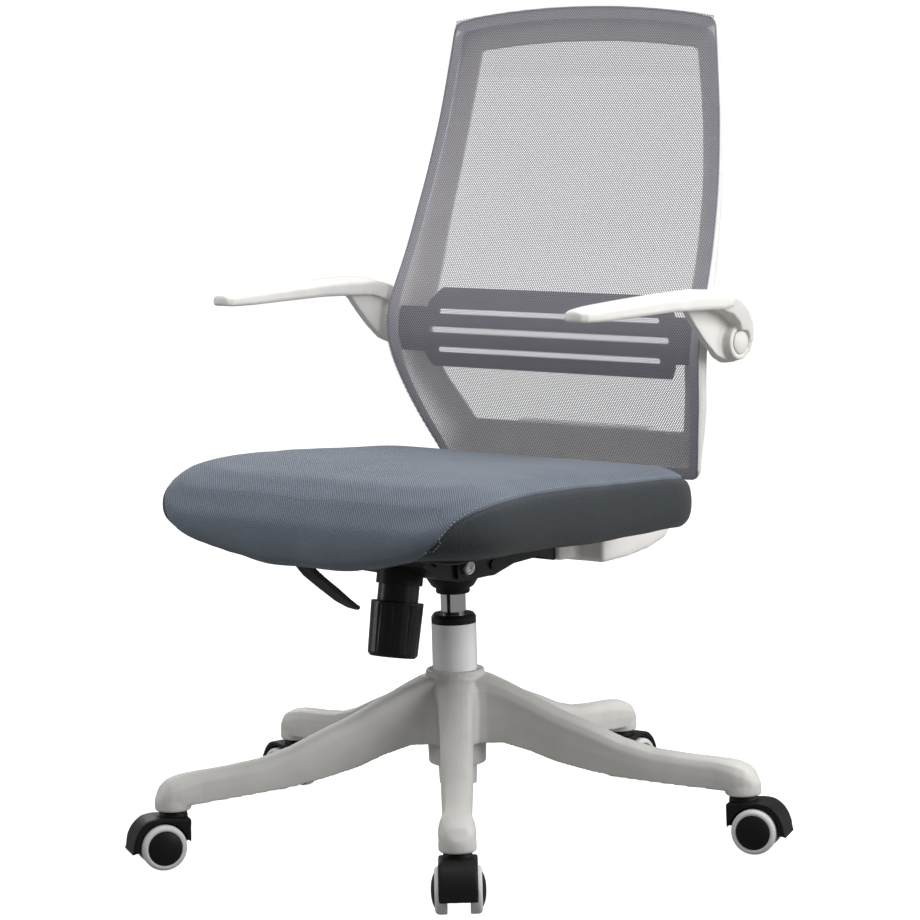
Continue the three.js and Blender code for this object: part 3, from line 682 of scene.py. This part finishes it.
def eased(points: Table, at: float) -> float:
    """Reads a smooth curve through a table of points.

    Args:
        points: Pairs of position and value, in order.
        at: The position.

    Returns:
        The value there, held level past either end.
    """
    last = len(points) - 1
    if at <= points[0][0]:
        return points[0][1]
    if at >= points[last][0]:
        return points[last][1]
    i = next(k for k in range(last) if at < points[k + 1][0])

    def slope(k: int) -> float:
        """Gives the curve's slope at one point of the table."""
        a, b = points[max(k - 1, 0)], points[min(k + 1, last)]
        return (b[1] - a[1]) / (b[0] - a[0])

    (x0, y0), (x1, y1) = points[i], points[i + 1]
    h = x1 - x0
    t = (at - x0) / h
    t2, t3 = t * t, t * t * t
    return ((2 * t3 - 3 * t2 + 1) * y0 + (t3 - 2 * t2 + t) * h * slope(i)
            + (3 * t2 - 2 * t3) * y1 + (t3 - t2) * h * slope(i + 1))


def column_axis() -> Vector:
    """Gives the point on the floor below the gas column."""
    low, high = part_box("column_tube")
    return Vector(((low.x + high.x) / 2, (low.y + high.y) / 2, 0))


def from_column(x: float, y: float, z: float) -> Vector:
    """Turns millimetres measured from the gas column into the chair's frame."""
    return column_axis() + Vector((x, y, z)) * MM


# ---------------------------------------------------------------- pieces kept from the frame
@dataclass
class Hardware:
    """The pieces whose CAD shape is right: they keep it and take a finish."""

    paint: Paintbox

    def finishes(self) -> dict[Finish, list[str]]:
        """Lists the nodes that take each finish.

        Returns:
            The names of the CAD nodes, by finish.
        """
        return {
            Finish.GLOSS_WHITE: ["column_tube"],
            Finish.WHITE: ["arm_bracket_left", "arm_bracket_right", "arm_cap_left",
                           "arm_cap_right"],
            Finish.BLACK: ["guide_bush", "dust_collar", "seat_pan"],
            Finish.SATIN_BLACK: ["spring_housing"],
            Finish.STEEL: ["piston_rod", "thrust_bearing", "retaining_clip", "release_button",
                           "seat_axle", "recline_bolt", "tilt_spring", "tension_bolt",
                           "lever_rod", *(f"caster_{i}_stem" for i in CASTERS),
                           *(f"caster_{i}_axle" for i in CASTERS)],
            Finish.BLACK_STEEL: ["mechanism_housing", "seat_plate", "back_arm",
                                 "arm_rivet_left", "arm_rivet_right"],
            Finish.CARRIER: ["mesh_carrier"],
        }

    def build(self) -> None:
        """Dresses every kept node."""
        group = smooth_faces()
        for finish, nodes in self.finishes().items():
            for node in nodes:
                piece = frame["nodes"][node]
                piece.modifiers.new("smooth_faces", "NODES").node_group = group
                self.paint.dress(piece, finish)
                LOG.info("%s: kept, finished in %s", node, finish.name)


@dataclass
class Mouldings:
    """The moulded plastic pieces, with the eased edges that a mould leaves."""

    paint: Paintbox
    share: float = 0.35

    def build(self) -> None:
        """Builds every moulding."""
        fine, medium = 0.9 * MM, 1.3 * MM
        # The base takes the white that is made darker by painted shade.
        self.mould("star_base", medium, 14, Finish.SHADED_WHITE_BASE, "base", "white_plastic")
        # The lumbar plate takes the dark grey of painted shade.
        self.mould("lumbar_plate", fine, 10, Finish.SHADED_LUMBAR, "back", "carrier_plastic")
        self.mould("back_bracket", 2 * MM, 30, Finish.WHITE, "back", "white_plastic")
        self.mould("tension_knob", fine, 2, Finish.SATIN_BLACK, "tension_knob", "black_plastic")
        self.mould("lever_paddle", fine, 8, Finish.BLACK, "height_lever", "black_plastic")
        for side in ("left", "right"):
            name = f"armrest_{side}"
            self.mould(name, medium, 4, Finish.WHITE, name, "white_plastic")
        for i in CASTERS:
            hood = f"caster_{i}_hood"
            self.mould(hood, 1.4 * MM, 16, Finish.BLACK, f"caster_{i}_fork", "black_plastic")

    def mould(self, node: str, voxel: float, passes: int, finish: Finish, body: str,
              slot: str) -> None:
        """Builds one moulding from its CAD node.

        Args:
            node: The CAD node that it stands for.
            voxel: The spacing of its points in metres.
            passes: How much its edges are eased.
            finish: Its finish.
            body: The body that it rides on.
            slot: Its material slot in the record.
        """
        piece = copied(node, f"{node}_moulding", voxel, passes, self.share)
        self.paint.mount(piece, body, slot, finish, node=node)


# ---------------------------------------------------------------- caster wheels
@dataclass
class Wheels:
    """The ten caster wheels: a soft tread round a domed black hub."""

    paint: Paintbox
    radius: float = 25.0
    inner: float = 12.0
    hub_radius: float = 18.6
    tread_edge: float = 0.3
    segments: int = 64

    def profile(self) -> Table:
        """Gives the outline, as radius and distance from the caster's middle plane."""
        r, i, hub = self.radius, self.inner, self.hub_radius
        return ((3.3, i), (r - 1.2, i), (r - 0.3, i + 0.4), (r, i + 1.6), (r, i + 7.6),
                (r - 0.5, i + 9.8), (r - 1.6, i + 11.4), (r - 3.2, i + 12.3), (hub + 1.2, i + 12.6),
                (hub + 0.5, i + 11.7), (hub, i + 12.4), (hub - 1.4, i + 13.3), (13, i + 15),
                (8, i + 16.1), (3.5, i + 16.5), (0, i + 16.6))

    def build(self) -> None:
        """Builds every wheel on its roll joint."""
        rolls = [j for j in frame["joints"] if "_roll_" in j["name"]]
        for joint in rolls:
            self.wheel(joint)

    def wheel(self, joint: dict) -> None:
        """Builds one wheel.

        Args:
            joint: Its roll joint.
        """
        node = joint["child"]
        sign = 1 if node.endswith("a") else -1
        axis = Vector(joint["axis"]).normalized() * sign
        middle = Vector(joint["pos_m"])
        outline, n = self.profile(), self.segments
        points = spun(outline, middle, axis, axis.cross(UPWARD), UPWARD, n)
        inner_face = tuple(range(n))[::-1]
        piece = add_piece(f"{node}_tyre", points, band(len(outline), n) + [inner_face])
        outward(piece, 0.001 * MM)
        self.paint.mount(piece, node, "wheel_plastic", Finish.TREAD, Finish.BLACK, node=node)
        for face in piece.data.polygons:
            centre = face.center - middle
            reach = (centre - axis * centre.dot(axis)).length
            face.material_index = int(reach < (self.hub_radius + self.tread_edge) * MM)


def turned(name: str, outline: Table, foot: Vector, axis: Vector,
           segments: int = 64) -> bpy.types.Object:
    """Makes a piece by turning a closed outline round an axis.

    Args:
        name: The piece's name.
        outline: Radius and distance along the axis, in millimetres, joined end to start.
        foot: The point from which the distances are measured.
        axis: The axis.
        segments: The number of faces round it.

    Returns:
        The closed piece.
    """
    side = axis.orthogonal().normalized()
    points = spun(outline, foot, axis, side, axis.cross(side), segments)
    piece = add_piece(name, points, band(len(outline), segments, closed=True))
    outward(piece)
    return piece


@dataclass
class Trim:
    """Turned pieces: the casters' collars, the recline bolt's head and the gas cylinder."""

    paint: Paintbox
    collar_radius: float = 15.2
    collar_bore: float = 9.4
    collar_foot: float = 55.0
    collar_top: float = 61.5
    cylinder_radius: float = 14.0
    cylinder_bore: float = 11.4
    cylinder_segments: int = 96
    bolt_face: Table = (
        (0.01, 0.3), (1.7, 0.3), (1.9, 2.2), (2.4, 2.6), (3.1, 2.5), (3.5, 1.9), (3.7, 0.2),
        (5.0, 0.2), (5.2, 1.7), (5.7, 2.1), (6.6, 2.0), (7.1, 1.5), (7.2, -0.5), (0.01, -0.5))

    def build(self) -> None:
        """Builds the collars, the bolt's head and the gas cylinder."""
        for joint in frame["joints"]:
            if joint["name"].endswith("_swivel") and joint["name"].startswith("caster"):
                self.collar(joint)
        self.bolt_head()
        self.gas_cylinder()

    def collar(self, joint: dict) -> None:
        """Builds the black collar on top of one caster's hood.

        Args:
            joint: The caster's swivel joint.
        """
        r, bore, low, top = self.collar_radius, self.collar_bore, self.collar_foot, self.collar_top
        outline = ((bore, low), (r + 0.6, low), (r + 0.4, low + 1.5), (r, low + 3), (r, top - 1.6),
                   (r - 0.5, top - 0.5), (r - 1.6, top), (bore, top))
        at = Vector(joint["pos_m"])
        fork = joint["child"]
        piece = turned(f"{fork}_collar", outline, Vector((at.x, at.y, 0)), UPWARD)
        self.paint.mount(piece, fork, "black_plastic", Finish.BLACK)

    def gas_cylinder(self) -> None:
        """Builds the chromed cylinder that slides in the column tube."""
        low, high = (corner.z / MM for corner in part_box("gas_cylinder"))
        r, bore = self.cylinder_radius, self.cylinder_bore
        outline = ((bore, low + 4), (bore, low), (r - 1, low), (r, low + 1), (r, high - 13),
                   (r - 1.2, high), (bore, high))
        piece = turned("gas_cylinder_chromed", outline, column_axis(), UPWARD,
                       self.cylinder_segments)
        self.paint.mount(piece, "mechanism", "chrome", Finish.CHROME, node="gas_cylinder")

    def bolt_head(self) -> None:
        """Builds the washer and the socket head on the end of the recline bolt."""
        joint = next(j for j in frame["joints"] if j["name"] == "back_recline")
        at = Vector(joint["pos_m"])
        foot = Vector((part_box("recline_bolt")[1].x, at.y, at.z))
        piece = turned("recline_bolt_head", self.bolt_face, foot, Vector((1, 0, 0)))
        self.paint.mount(piece, "mechanism", "bright_steel", Finish.STEEL)


# ---------------------------------------------------------------- seat
@dataclass
class Seat:
    """The upholstered seat: a foam cushion in twill, with a sewn side seam."""

    paint: Paintbox
    voxel: float = 4 * MM
    easing: int = 24
    last_easing: int = 8
    tuck: float = 3 * MM
    pressure: float = 4
    quality: int = 5
    frames: int = 20
    most_swell: float = 6 * MM
    evening: int = 60
    half_width: float = 240
    front: float = -265
    rear: float = 178
    front_corner: float = 85
    rear_corner: float = 70
    seam_inset: float = 9
    hem_height: float = 342
    hem_lip: float = 359
    leave_top: float = 8
    reach_hem: float = 72
    hem_drop: int = 4
    seam_height: Table = ((-265, 396), (-240, 410), (-180, 420), (-98, 421), (4, 416), (95, 412),
                          (178, 400))
    groove_width: float = 3.0 * MM
    groove_depth: float = 1.9 * MM
    seam_shade_width: float = 1.5 * MM
    # Width of the painted shade in the seam groove.
    panel_edge: float = 2 * MM
    stitch_gap: float = 4.6
    stitch_inset: float = 5.0
    stitch_sides: int = 6
    stitch_rise: float = 0.15
    stitch_outline: Table = ((0.15, -1.5), (0.5, -0.9), (0.5, 0.9), (0.15, 1.5))

    def build(self) -> None:
        """Builds the cushion and its stitching."""
        cushion = self.swollen()
        seam = self.snapped(cushion, self.seam_line(self.seam_inset))
        self.sew(cushion, seam)
        self.paint.mount(cushion, "seat", "seat_fabric", Finish.SEAT_CLOTH, node="seat_cushion")
        self.paint.mount(self.stitches(cushion), "seat", "seat_fabric", Finish.THREAD)

    def swollen(self) -> bpy.types.Object:
        """Fills the cushion's cover, so that it crowns between its edges.

        Returns:
            The cushion, with its simulation applied.
        """
        piece = copied("seat_cushion", "seat_cushion_cover", self.voxel, self.easing)
        mesh = piece.data
        for vertex, normal in zip(mesh.vertices, [v.normal.copy() for v in mesh.vertices]):
            vertex.co -= normal * self.tuck
        rest = np.array([v.co for v in mesh.vertices])
        self.inflate(piece)
        moved = np.array([v.co for v in piece.data.vertices]) - rest
        facing = np.array([v.normal for v in piece.data.vertices])
        swell = self.evened(piece, (moved * facing).sum(axis=1))
        final = rest + facing * np.clip(swell, 0, self.most_swell)[:, None]
        piece.data.vertices.foreach_set("co", final.astype(np.float32).ravel())
        piece.data.update()
        ease = piece.modifiers.new("ease", "SMOOTH")
        ease.iterations = self.last_easing
        subdivide(piece)
        return settle(piece)

    def evened(self, piece: bpy.types.Object, values: np.ndarray) -> np.ndarray:
        """Spreads each point's value over its neighbours, which takes out small wrinkles.

        Args:
            piece: The cushion's cover.
            values: One value for each point.

        Returns:
            The evened values.
        """
        ends = np.array([edge.vertices[:] for edge in piece.data.edges])
        count = np.bincount(ends.ravel(), minlength=len(values))
        for _ in range(self.evening):
            total = np.bincount(ends[:, 0], values[ends[:, 1]], len(values))
            total += np.bincount(ends[:, 1], values[ends[:, 0]], len(values))
            values = total / np.maximum(count, 1)
        return values

    def inflate(self, piece: bpy.types.Object) -> None:
        """Blows the cover up with a short cloth simulation and keeps the result.

        Args:
            piece: The cushion's cover.
        """
        scene = bpy.context.scene
        cloth = piece.modifiers.new("cloth", "CLOTH")
        cloth.settings.use_pressure = True
        cloth.settings.uniform_pressure_force = self.pressure
        cloth.settings.effector_weights.gravity = 0
        cloth.settings.quality = self.quality
        for number in range(1, self.frames + 1):
            scene.frame_set(number)
        settle(piece)
        scene.frame_set(1)

    def seam_line(self, inset: float) -> list[Vector]:
        """Lays out the seam on the right side, then mirrors it to the left.

        Args:
            inset: How far inside the seat's outline it runs, in millimetres.

        Returns:
            Its points, from one front corner round the rear to the other.
        """
        half = self.half_width
        corner_y = self.front + self.front_corner
        right: list[Point] = []
        front_steps, side_steps, corner_steps, rear_steps = 60, 60, 20, 30
        for i in range(front_steps + 1):
            t = 1 - i / front_steps
            a = math.radians(self.leave_top + (self.reach_hem - self.leave_top) * t)
            r = self.front_corner - inset * (1 - t)
            x = half - self.front_corner + r * math.cos(a)
            y = corner_y - r * math.sin(a)
            top = eased(self.seam_height, y)
            z = top + (self.hem_height - top) * t ** self.hem_drop
            if z > self.hem_lip:
                right.append((x, y, z))
        for y in np.linspace(corner_y, self.rear - self.rear_corner, side_steps)[1:]:
            right.append((half - inset, float(y), eased(self.seam_height, y)))
        for a in np.linspace(0, 90, corner_steps)[1:]:
            r = self.rear_corner - inset
            y = self.rear - self.rear_corner + r * math.sin(math.radians(a))
            x = half - self.rear_corner + r * math.cos(math.radians(a))
            right.append((x, y, eased(self.seam_height, y)))
        end_x, end_y, end_z = right[-1]
        for x in np.linspace(end_x, 0, rear_steps)[1:]:
            right.append((float(x), end_y, end_z))
        left = [(-x, y, z) for x, y, z in reversed(right[:-1])]
        return [from_column(*p) for p in right + left]

    def snapped(self, cushion: bpy.types.Object, line: list[Vector]) -> list[Vector]:
        """Moves a line's points onto the cushion's surface."""
        tree = BVHTree.FromObject(cushion, bpy.context.evaluated_depsgraph_get())
        return [tree.find_nearest(p)[0] for p in line]

    def sew(self, cushion: bpy.types.Object, seam: list[Vector]) -> None:
        """Presses the seam into the cover, and stores the side panel and the painted shade along
        the seam groove.

        Args:
            cushion: The cushion.
            seam: The seam's points on its surface.
        """
        fill = 8
        dense = [a.lerp(b, k / fill) for a, b in zip(seam, seam[1:]) for k in range(fill)]
        along = [(b - a).normalized() for a, b in zip(seam, seam[1:]) for _ in range(fill)]
        near = KDTree(len(dense))
        for i, p in enumerate(dense):
            near.insert(p, i)
        near.balance()
        mesh = cushion.data
        normals = [v.normal.copy() for v in mesh.vertices]
        panel, seam_shade = [], []
        for vertex, normal in zip(mesh.vertices, normals):
            spot, index, gap = near.find(vertex.co)
            below = (vertex.co - spot).dot(along[index].cross(normal))
            panel.append(min(max(0.5 + below / self.panel_edge, 0), 1))
            # Painted shade: how much the cloth darkens in the seam groove.
            seam_shade.append(math.exp(-(gap / self.seam_shade_width) ** 2))
            vertex.co -= normal * self.groove_depth * math.exp(-(gap / self.groove_width) ** 2)
        for name, values in (("side_panel", panel), ("seam", seam_shade)):
            layer = mesh.attributes.new(name, "FLOAT", "POINT")
            layer.data.foreach_set("value", values)
        mesh.update()

    def stitches(self, cushion: bpy.types.Object) -> bpy.types.Object:
        """Sews a row of short stitches beside the seam.

        Args:
            cushion: The cushion that carries them.

        Returns:
            The stitches, as one piece.
        """
        line = self.snapped(cushion, self.seam_line(self.seam_inset + self.stitch_inset))
        tree = BVHTree.FromObject(cushion, bpy.context.evaluated_depsgraph_get())
        points: list[Vector] = []
        faces: list[Face] = []
        travelled, due = 0.0, 0.0
        for a, b in zip(line, line[1:]):
            span = (b - a).length
            while span > 1e-7 and due < travelled + span:
                middle = a.lerp(b, (due - travelled) / span)
                spot, normal, _, _ = tree.find_nearest(middle)
                self.stitch(points, faces, spot, normal, (b - a).normalized())
                due += self.stitch_gap * MM
            travelled += span
        return add_piece("seat_seam_stitches", points, faces)

    def stitch(self, points: list[Vector], faces: list[Face], spot: Vector, normal: Vector,
               along: Vector) -> None:
        """Adds one stitch, a short spindle lying on the cloth.

        Args:
            points: The points so far.
            faces: The faces so far.
            spot: Its middle.
            normal: The cloth's outward direction.
            along: The seam's direction.
        """
        sides, rings, first = self.stitch_sides, len(self.stitch_outline), len(points)
        across = normal.cross(along).normalized()
        foot = spot + normal * self.stitch_rise * MM
        points.extend(spun(self.stitch_outline, foot, along, normal, across, sides))
        faces.extend(band(rings, sides, first))
        faces.append(tuple(first + k for k in reversed(range(sides))))
        faces.append(tuple(first + (rings - 1) * sides + k for k in range(sides)))


# ---------------------------------------------------------------- back
@dataclass
class Back:
    """The back: a white shell behind an open mesh that is stretched over it."""

    paint: Paintbox
    bottom: float = 388
    top: float = 917
    top_bow: float = 14
    top_half: float = 188
    ceiling_from: float = 905
    corner: float = 14
    tuck_from: float = 540
    tuck_over: float = 140
    rows: int = 56
    cloth_columns: int = 44
    cloth_rows: int = 110
    welt_radius: float = 1.1
    welt_sides: int = 8
    welt_inset: float = 1.3
    welt_behind: float = 1.4
    rim_half: Table = ((388, 184), (445, 204.3), (492, 218.4), (540, 227.3), (577, 228.6),
                       (640, 222.8), (703, 216), (801, 202.8), (917, 187))
    rim_depth: Table = ((388, 209), (405, 202.2), (445, 185.2), (492, 168.6), (520, 161),
                        (546, 158.6), (577, 164.8), (640, 191.4), (703, 213.4), (741, 224.6),
                        (801, 238.3), (917, 255.4))
    shell_width: Table = ((388, 55), (459, 50), (500, 45), (598, 45), (660, 40), (771, 37),
                          (866, 39), (917, 41))
    shell_depth: Table = ((388, 44), (459, 42), (500, 36), (598, 34), (660, 27), (716, 23.5),
                          (771, 20.5), (866, 17.5), (917, 17))

    def build(self) -> None:
        """Builds the shell, the mesh and its edge."""
        self.shell()
        self.cloth()
        self.edge()

    def top_edge(self, x: float) -> float:
        """Gives the height of the bowed top edge at x."""
        return self.top - self.top_bow * (x / self.top_half) ** 2

    def loop(self, side: Callable[[float], float], top: float, low: float,
             behind: Callable[[float], float], radius: float) -> list[Vector]:
        """Lays a closed line parallel to the rim.

        Args:
            side: How far inside the rim it runs at each height.
            top: How far below the top edge it runs.
            low: How far above the bottom edge it runs.
            behind: How far behind the mesh it runs at each height.
            radius: The radius of its corners.

        Returns:
            Its points, once round.
        """
        floor = self.bottom + low
        corner = max(radius, 2)
        span = eased(self.rim_half, self.ceiling_from) - side(self.ceiling_from)
        ceiling = self.top_edge(span) - top

        def edge(z: float) -> float:
            """Gives the line's half width at one height."""
            return eased(self.rim_half, z) - side(z)

        foot = edge(floor + corner) - corner
        right = [(foot * t, floor) for t in (0.1, 0.3, 0.5, 0.7, 0.88)]
        for a in range(-90, 0, 15):
            turn = math.radians(a)
            right.append((foot + corner * math.cos(turn), floor + corner * (1 + math.sin(turn))))
        start, stop = floor + corner, ceiling - corner
        right += [(edge(z), float(z)) for z in np.linspace(start, stop, self.rows)]
        head = edge(stop) - corner
        for a in range(15, 91, 15):
            turn = math.radians(a)
            right.append((head + corner * math.cos(turn), stop + corner * math.sin(turn)))
        for t in (0.9, 0.75, 0.6, 0.45, 0.3, 0.1):
            right.append((head * t, self.top_edge(head * t) - top))
        points = [(x, eased(self.rim_depth, z) + behind(z), z) for x, z in right]
        mirrored = [(-x, y, z) for x, y, z in reversed(points)]
        return [from_column(*p) for p in points + mirrored]

    def shell(self) -> None:
        """Builds the white frame behind the mesh."""
        def depth(share: float, less: float = 0.0) -> Callable[[float], float]:
            """Gives a share of the shell's depth at each height."""
            return lambda z: share * eased(self.shell_depth, z) + less

        def wall(inset: float, turn_in: float) -> Callable[[float], float]:
            """Gives an inset that grows toward the bottom corners."""
            def at(z: float) -> float:
                """Gives the inset at one height."""
                return inset + turn_in * min(max((self.tuck_from - z) / self.tuck_over, 0), 1) ** 2
            return at

        def width(z: float) -> float:
            """Gives the width of the flange at one height."""
            return eased(self.shell_width, z)

        section = (
            (wall(1, 0), 1, 1, depth(0, 5.2)), (wall(1.5, 7.5), 1.5, 1.5, depth(0.45)),
            (wall(7, 15), 5, 7, depth(0.78)), (wall(17, 15), 14, 17, depth(0.96)),
            (width, 41, 52, depth(1)), (width, 41, 52, depth(1, -3.5)),
            (wall(18, 15), 15, 18, depth(0.96, -3.6)), (wall(10.5, 15), 9, 10.5, depth(0.78, -2.6)),
            (wall(5.5, 7.5), 5.5, 5.5, depth(0.45, 0.4)), (wall(5, 0), 5, 5, depth(0, 5.2)),
        )
        loops = []
        for side, top, low, behind in section:
            radius = max(self.corner - side(600) * 0.2, 6)
            loops.append(self.loop(side, top, low, behind, radius))
        piece = self.ring("back_shell_frame", loops)
        subdivide(piece)
        settle(piece)
        self.paint.mount(piece, "back", "white_plastic", Finish.WHITE, node="back_shell")

    def ring(self, name: str, loops: list[list[Vector]]) -> bpy.types.Object:
        """Skins closed lines into a closed ring.

        Args:
            name: The piece's name.
            loops: The lines, in order round the section.

        Returns:
            The ring.
        """
        faces = band(len(loops), len(loops[0]), closed=True)
        piece = add_piece(name, [p for line in loops for p in line], faces)
        outward(piece)
        return piece

    def cloth(self) -> None:
        """Builds the stretched mesh, a single sheet that bends only front to back."""
        across, up = self.cloth_columns, self.cloth_rows
        points, faces = [], []
        for j in range(up + 1):
            share = j / up
            for i in range(across + 1):
                u = 2 * i / across - 1
                rough_z = self.bottom + share * (self.top - self.bottom)
                x = u * self.half_at(rough_z)
                z = self.bottom + share * (self.top_edge(x) - self.bottom)
                points.append(from_column(x, eased(self.rim_depth, z), z))
        for j in range(up):
            for i in range(across):
                a = j * (across + 1) + i
                faces.append((a, a + 1, a + across + 2, a + across + 1))
        piece = add_piece("back_mesh_cloth", points, faces)
        self.paint.mount(piece, "back", "mesh_fabric", Finish.BACK_CLOTH, node="back_mesh")
        length = self.length() * MM

    def half_at(self, z: float) -> float:
        """Gives the mesh's half width at one height, less its rounded corners.

        Args:
            z: The height in millimetres.

        Returns:
            The half width in millimetres.
        """
        half = eased(self.rim_half, z)
        for gap in (z - self.bottom, self.top - self.top_bow - z):
            into = self.corner - gap
            if 0 < into <= self.corner:
                half -= self.corner - math.sqrt(max(self.corner ** 2 - into ** 2, 0))
        return half

    def length(self) -> float:
        """Measures the mesh along its curve.

        Returns:
            Its length from bottom to top, in millimetres.
        """
        heights = np.linspace(self.bottom, self.top, 200)
        depths = np.array([eased(self.rim_depth, z) for z in heights])
        return float(np.hypot(np.diff(heights), np.diff(depths)).sum())

    def edge(self) -> None:
        """Builds the soft welt that runs round the mesh's edge."""
        loops = []
        for k in range(self.welt_sides):
            a = 2 * math.pi * k / self.welt_sides
            inset = self.welt_inset + self.welt_radius * math.cos(a)
            back = self.welt_behind + self.welt_radius * math.sin(a)
            loops.append(self.loop(lambda z, i=inset: i, inset, inset, lambda z, b=back: b,
                                   self.corner - inset))
        piece = self.ring("back_mesh_welt", loops)
        self.paint.mount(piece, "back", "mesh_fabric", Finish.WELT)


# ---------------------------------------------------------------- studio
@dataclass(frozen=True)
class Lamp:
    """A soft rectangular lamp: where it hangs, the point it faces, its size and its watts."""

    name: str
    at: Point
    toward: Point
    size: tuple[float, float]
    power: float
    mirrored: bool = True

    def hang(self) -> None:
        """Hangs the lamp. Glossy surfaces show it only if it is mirrored."""
        light = bpy.data.lights.new(self.name, "AREA")
        light.shape = "RECTANGLE"
        light.size, light.size_y = self.size
        light.energy = self.power
        holder = bpy.data.objects.new(self.name, light)
        holder.location = self.at
        holder.visible_glossy = self.mirrored
        aim = Vector(self.toward) - Vector(self.at)
        holder.rotation_mode = "QUATERNION"
        holder.rotation_quaternion = aim.to_track_quat("-Z", "Y")
        bpy.context.scene.collection.objects.link(holder)


@dataclass
class Studio:
    """A plain pale floor, soft light from above and from the right, and the camera."""

    eye: Point = (2.5508, -2.9848, 0.92723)
    ahead: Point = (-0.64392, 0.75434, -0.12783)
    up: Point = (-0.06160, 0.11541, 0.99141)
    lens: float = 139.5
    far: float = 50
    ambient: float = 0.25
    floor_reach: float = 30
    floor_glow: float = 0.98
    lamps: tuple[Lamp, ...] = (
        Lamp("top_light", (0.2, 0.5, 2.9), (0, 0, 0.3), (2.6, 2.6), 60),
        Lamp("right_light", (3.0, 0.9, 1.7), (0, 0, 0.5), (1.6, 2.2), 80),
        Lamp("left_light", (-2.6, 1.4, 1.5), (0, 0, 0.5), (1.2, 2.0), 20),
        Lamp("front_light", (0.3, -2.5, 2.8), (0, 0.1, 0.6), (1.4, 1.4), 34, False),
        Lamp("right_strip", (1.6, 1.93, 0.6), (0, 0, 0.35), (0.12, 1.3), 9),
        Lamp("left_strip", (-2.15, -1.27, 0.6), (0, 0, 0.35), (0.12, 1.3), 9))

    def build(self) -> None:
        """Sets up the studio."""
        self.floor()
        self.sky()
        for lamp in self.lamps:
            lamp.hang()
        self.camera()
        bpy.context.scene.view_settings.view_transform = "Standard"

    def camera(self) -> None:
        """Sets the camera."""
        ahead, up = Vector(self.ahead).normalized(), Vector(self.up).normalized()
        right = ahead.cross(up).normalized()
        up = right.cross(ahead)
        camera = bpy.data.cameras.new("camera")
        camera.lens = self.lens
        camera.clip_end = self.far
        holder = bpy.data.objects.new("camera", camera)
        turn = Matrix((right, up, -ahead)).transposed().to_4x4()
        holder.matrix_world = Matrix.Translation(Vector(self.eye)) @ turn
        bpy.context.scene.collection.objects.link(holder)
        bpy.context.scene.camera = holder

    def floor(self) -> None:
        """Lays the floor."""
        reach = self.floor_reach
        corners = [(-reach, -reach, 0), (reach, -reach, 0), (reach, reach, 0), (-reach, reach, 0)]
        piece = add_piece("studio_floor", corners, [(0, 1, 2, 3)])
        shader = Shader("studio_floor")
        cloud = shader.noise(0.8, 2.0)
        colour = shader.blend(cloud, (0.27, 0.27, 0.27), (0.3, 0.3, 0.3))
        piece.data.materials.append(shader.surface({
            "Base Color": colour, "Roughness": 0.9,
            "Emission Color": WHITE_LIGHT, "Emission Strength": self.floor_glow,
        }))
        piece.visible_diffuse = piece.visible_glossy = False

    def sky(self) -> None:
        """Surrounds the scene with white that lights it only softly."""
        world = bpy.data.worlds.new("studio")
        bpy.context.scene.world = world
        world.use_nodes = True
        nodes, links = world.node_tree.nodes, world.node_tree.links
        nodes.clear()
        path = nodes.new("ShaderNodeLightPath")
        level = nodes.new("ShaderNodeMapRange")
        glow, end = nodes.new("ShaderNodeBackground"), nodes.new("ShaderNodeOutputWorld")
        level.inputs[3].default_value = self.ambient
        glow.inputs["Color"].default_value = WHITE_LIGHT
        links.new(path.outputs["Is Camera Ray"], level.inputs[0])
        links.new(level.outputs[0], glow.inputs["Strength"])
        links.new(glow.outputs[0], end.inputs["Surface"])


def write_size() -> None:
    """Brings the scene up to date.
    """
    bpy.context.view_layer.update()


def main() -> None:
    """Builds the whole chair, then its studio."""
    logging.basicConfig(level=logging.INFO, format="%(name)s: %(message)s")
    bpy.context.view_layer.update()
    paint = Paintbox()
    kinds = (Hardware, Mouldings, Wheels, Trim, Seat, Back)
    for part in (*(kind(paint) for kind in kinds), Studio()):
        part.build()
        LOG.info("%s is built", type(part).__name__)
    write_size()


if __name__ == "__main__":
    main()
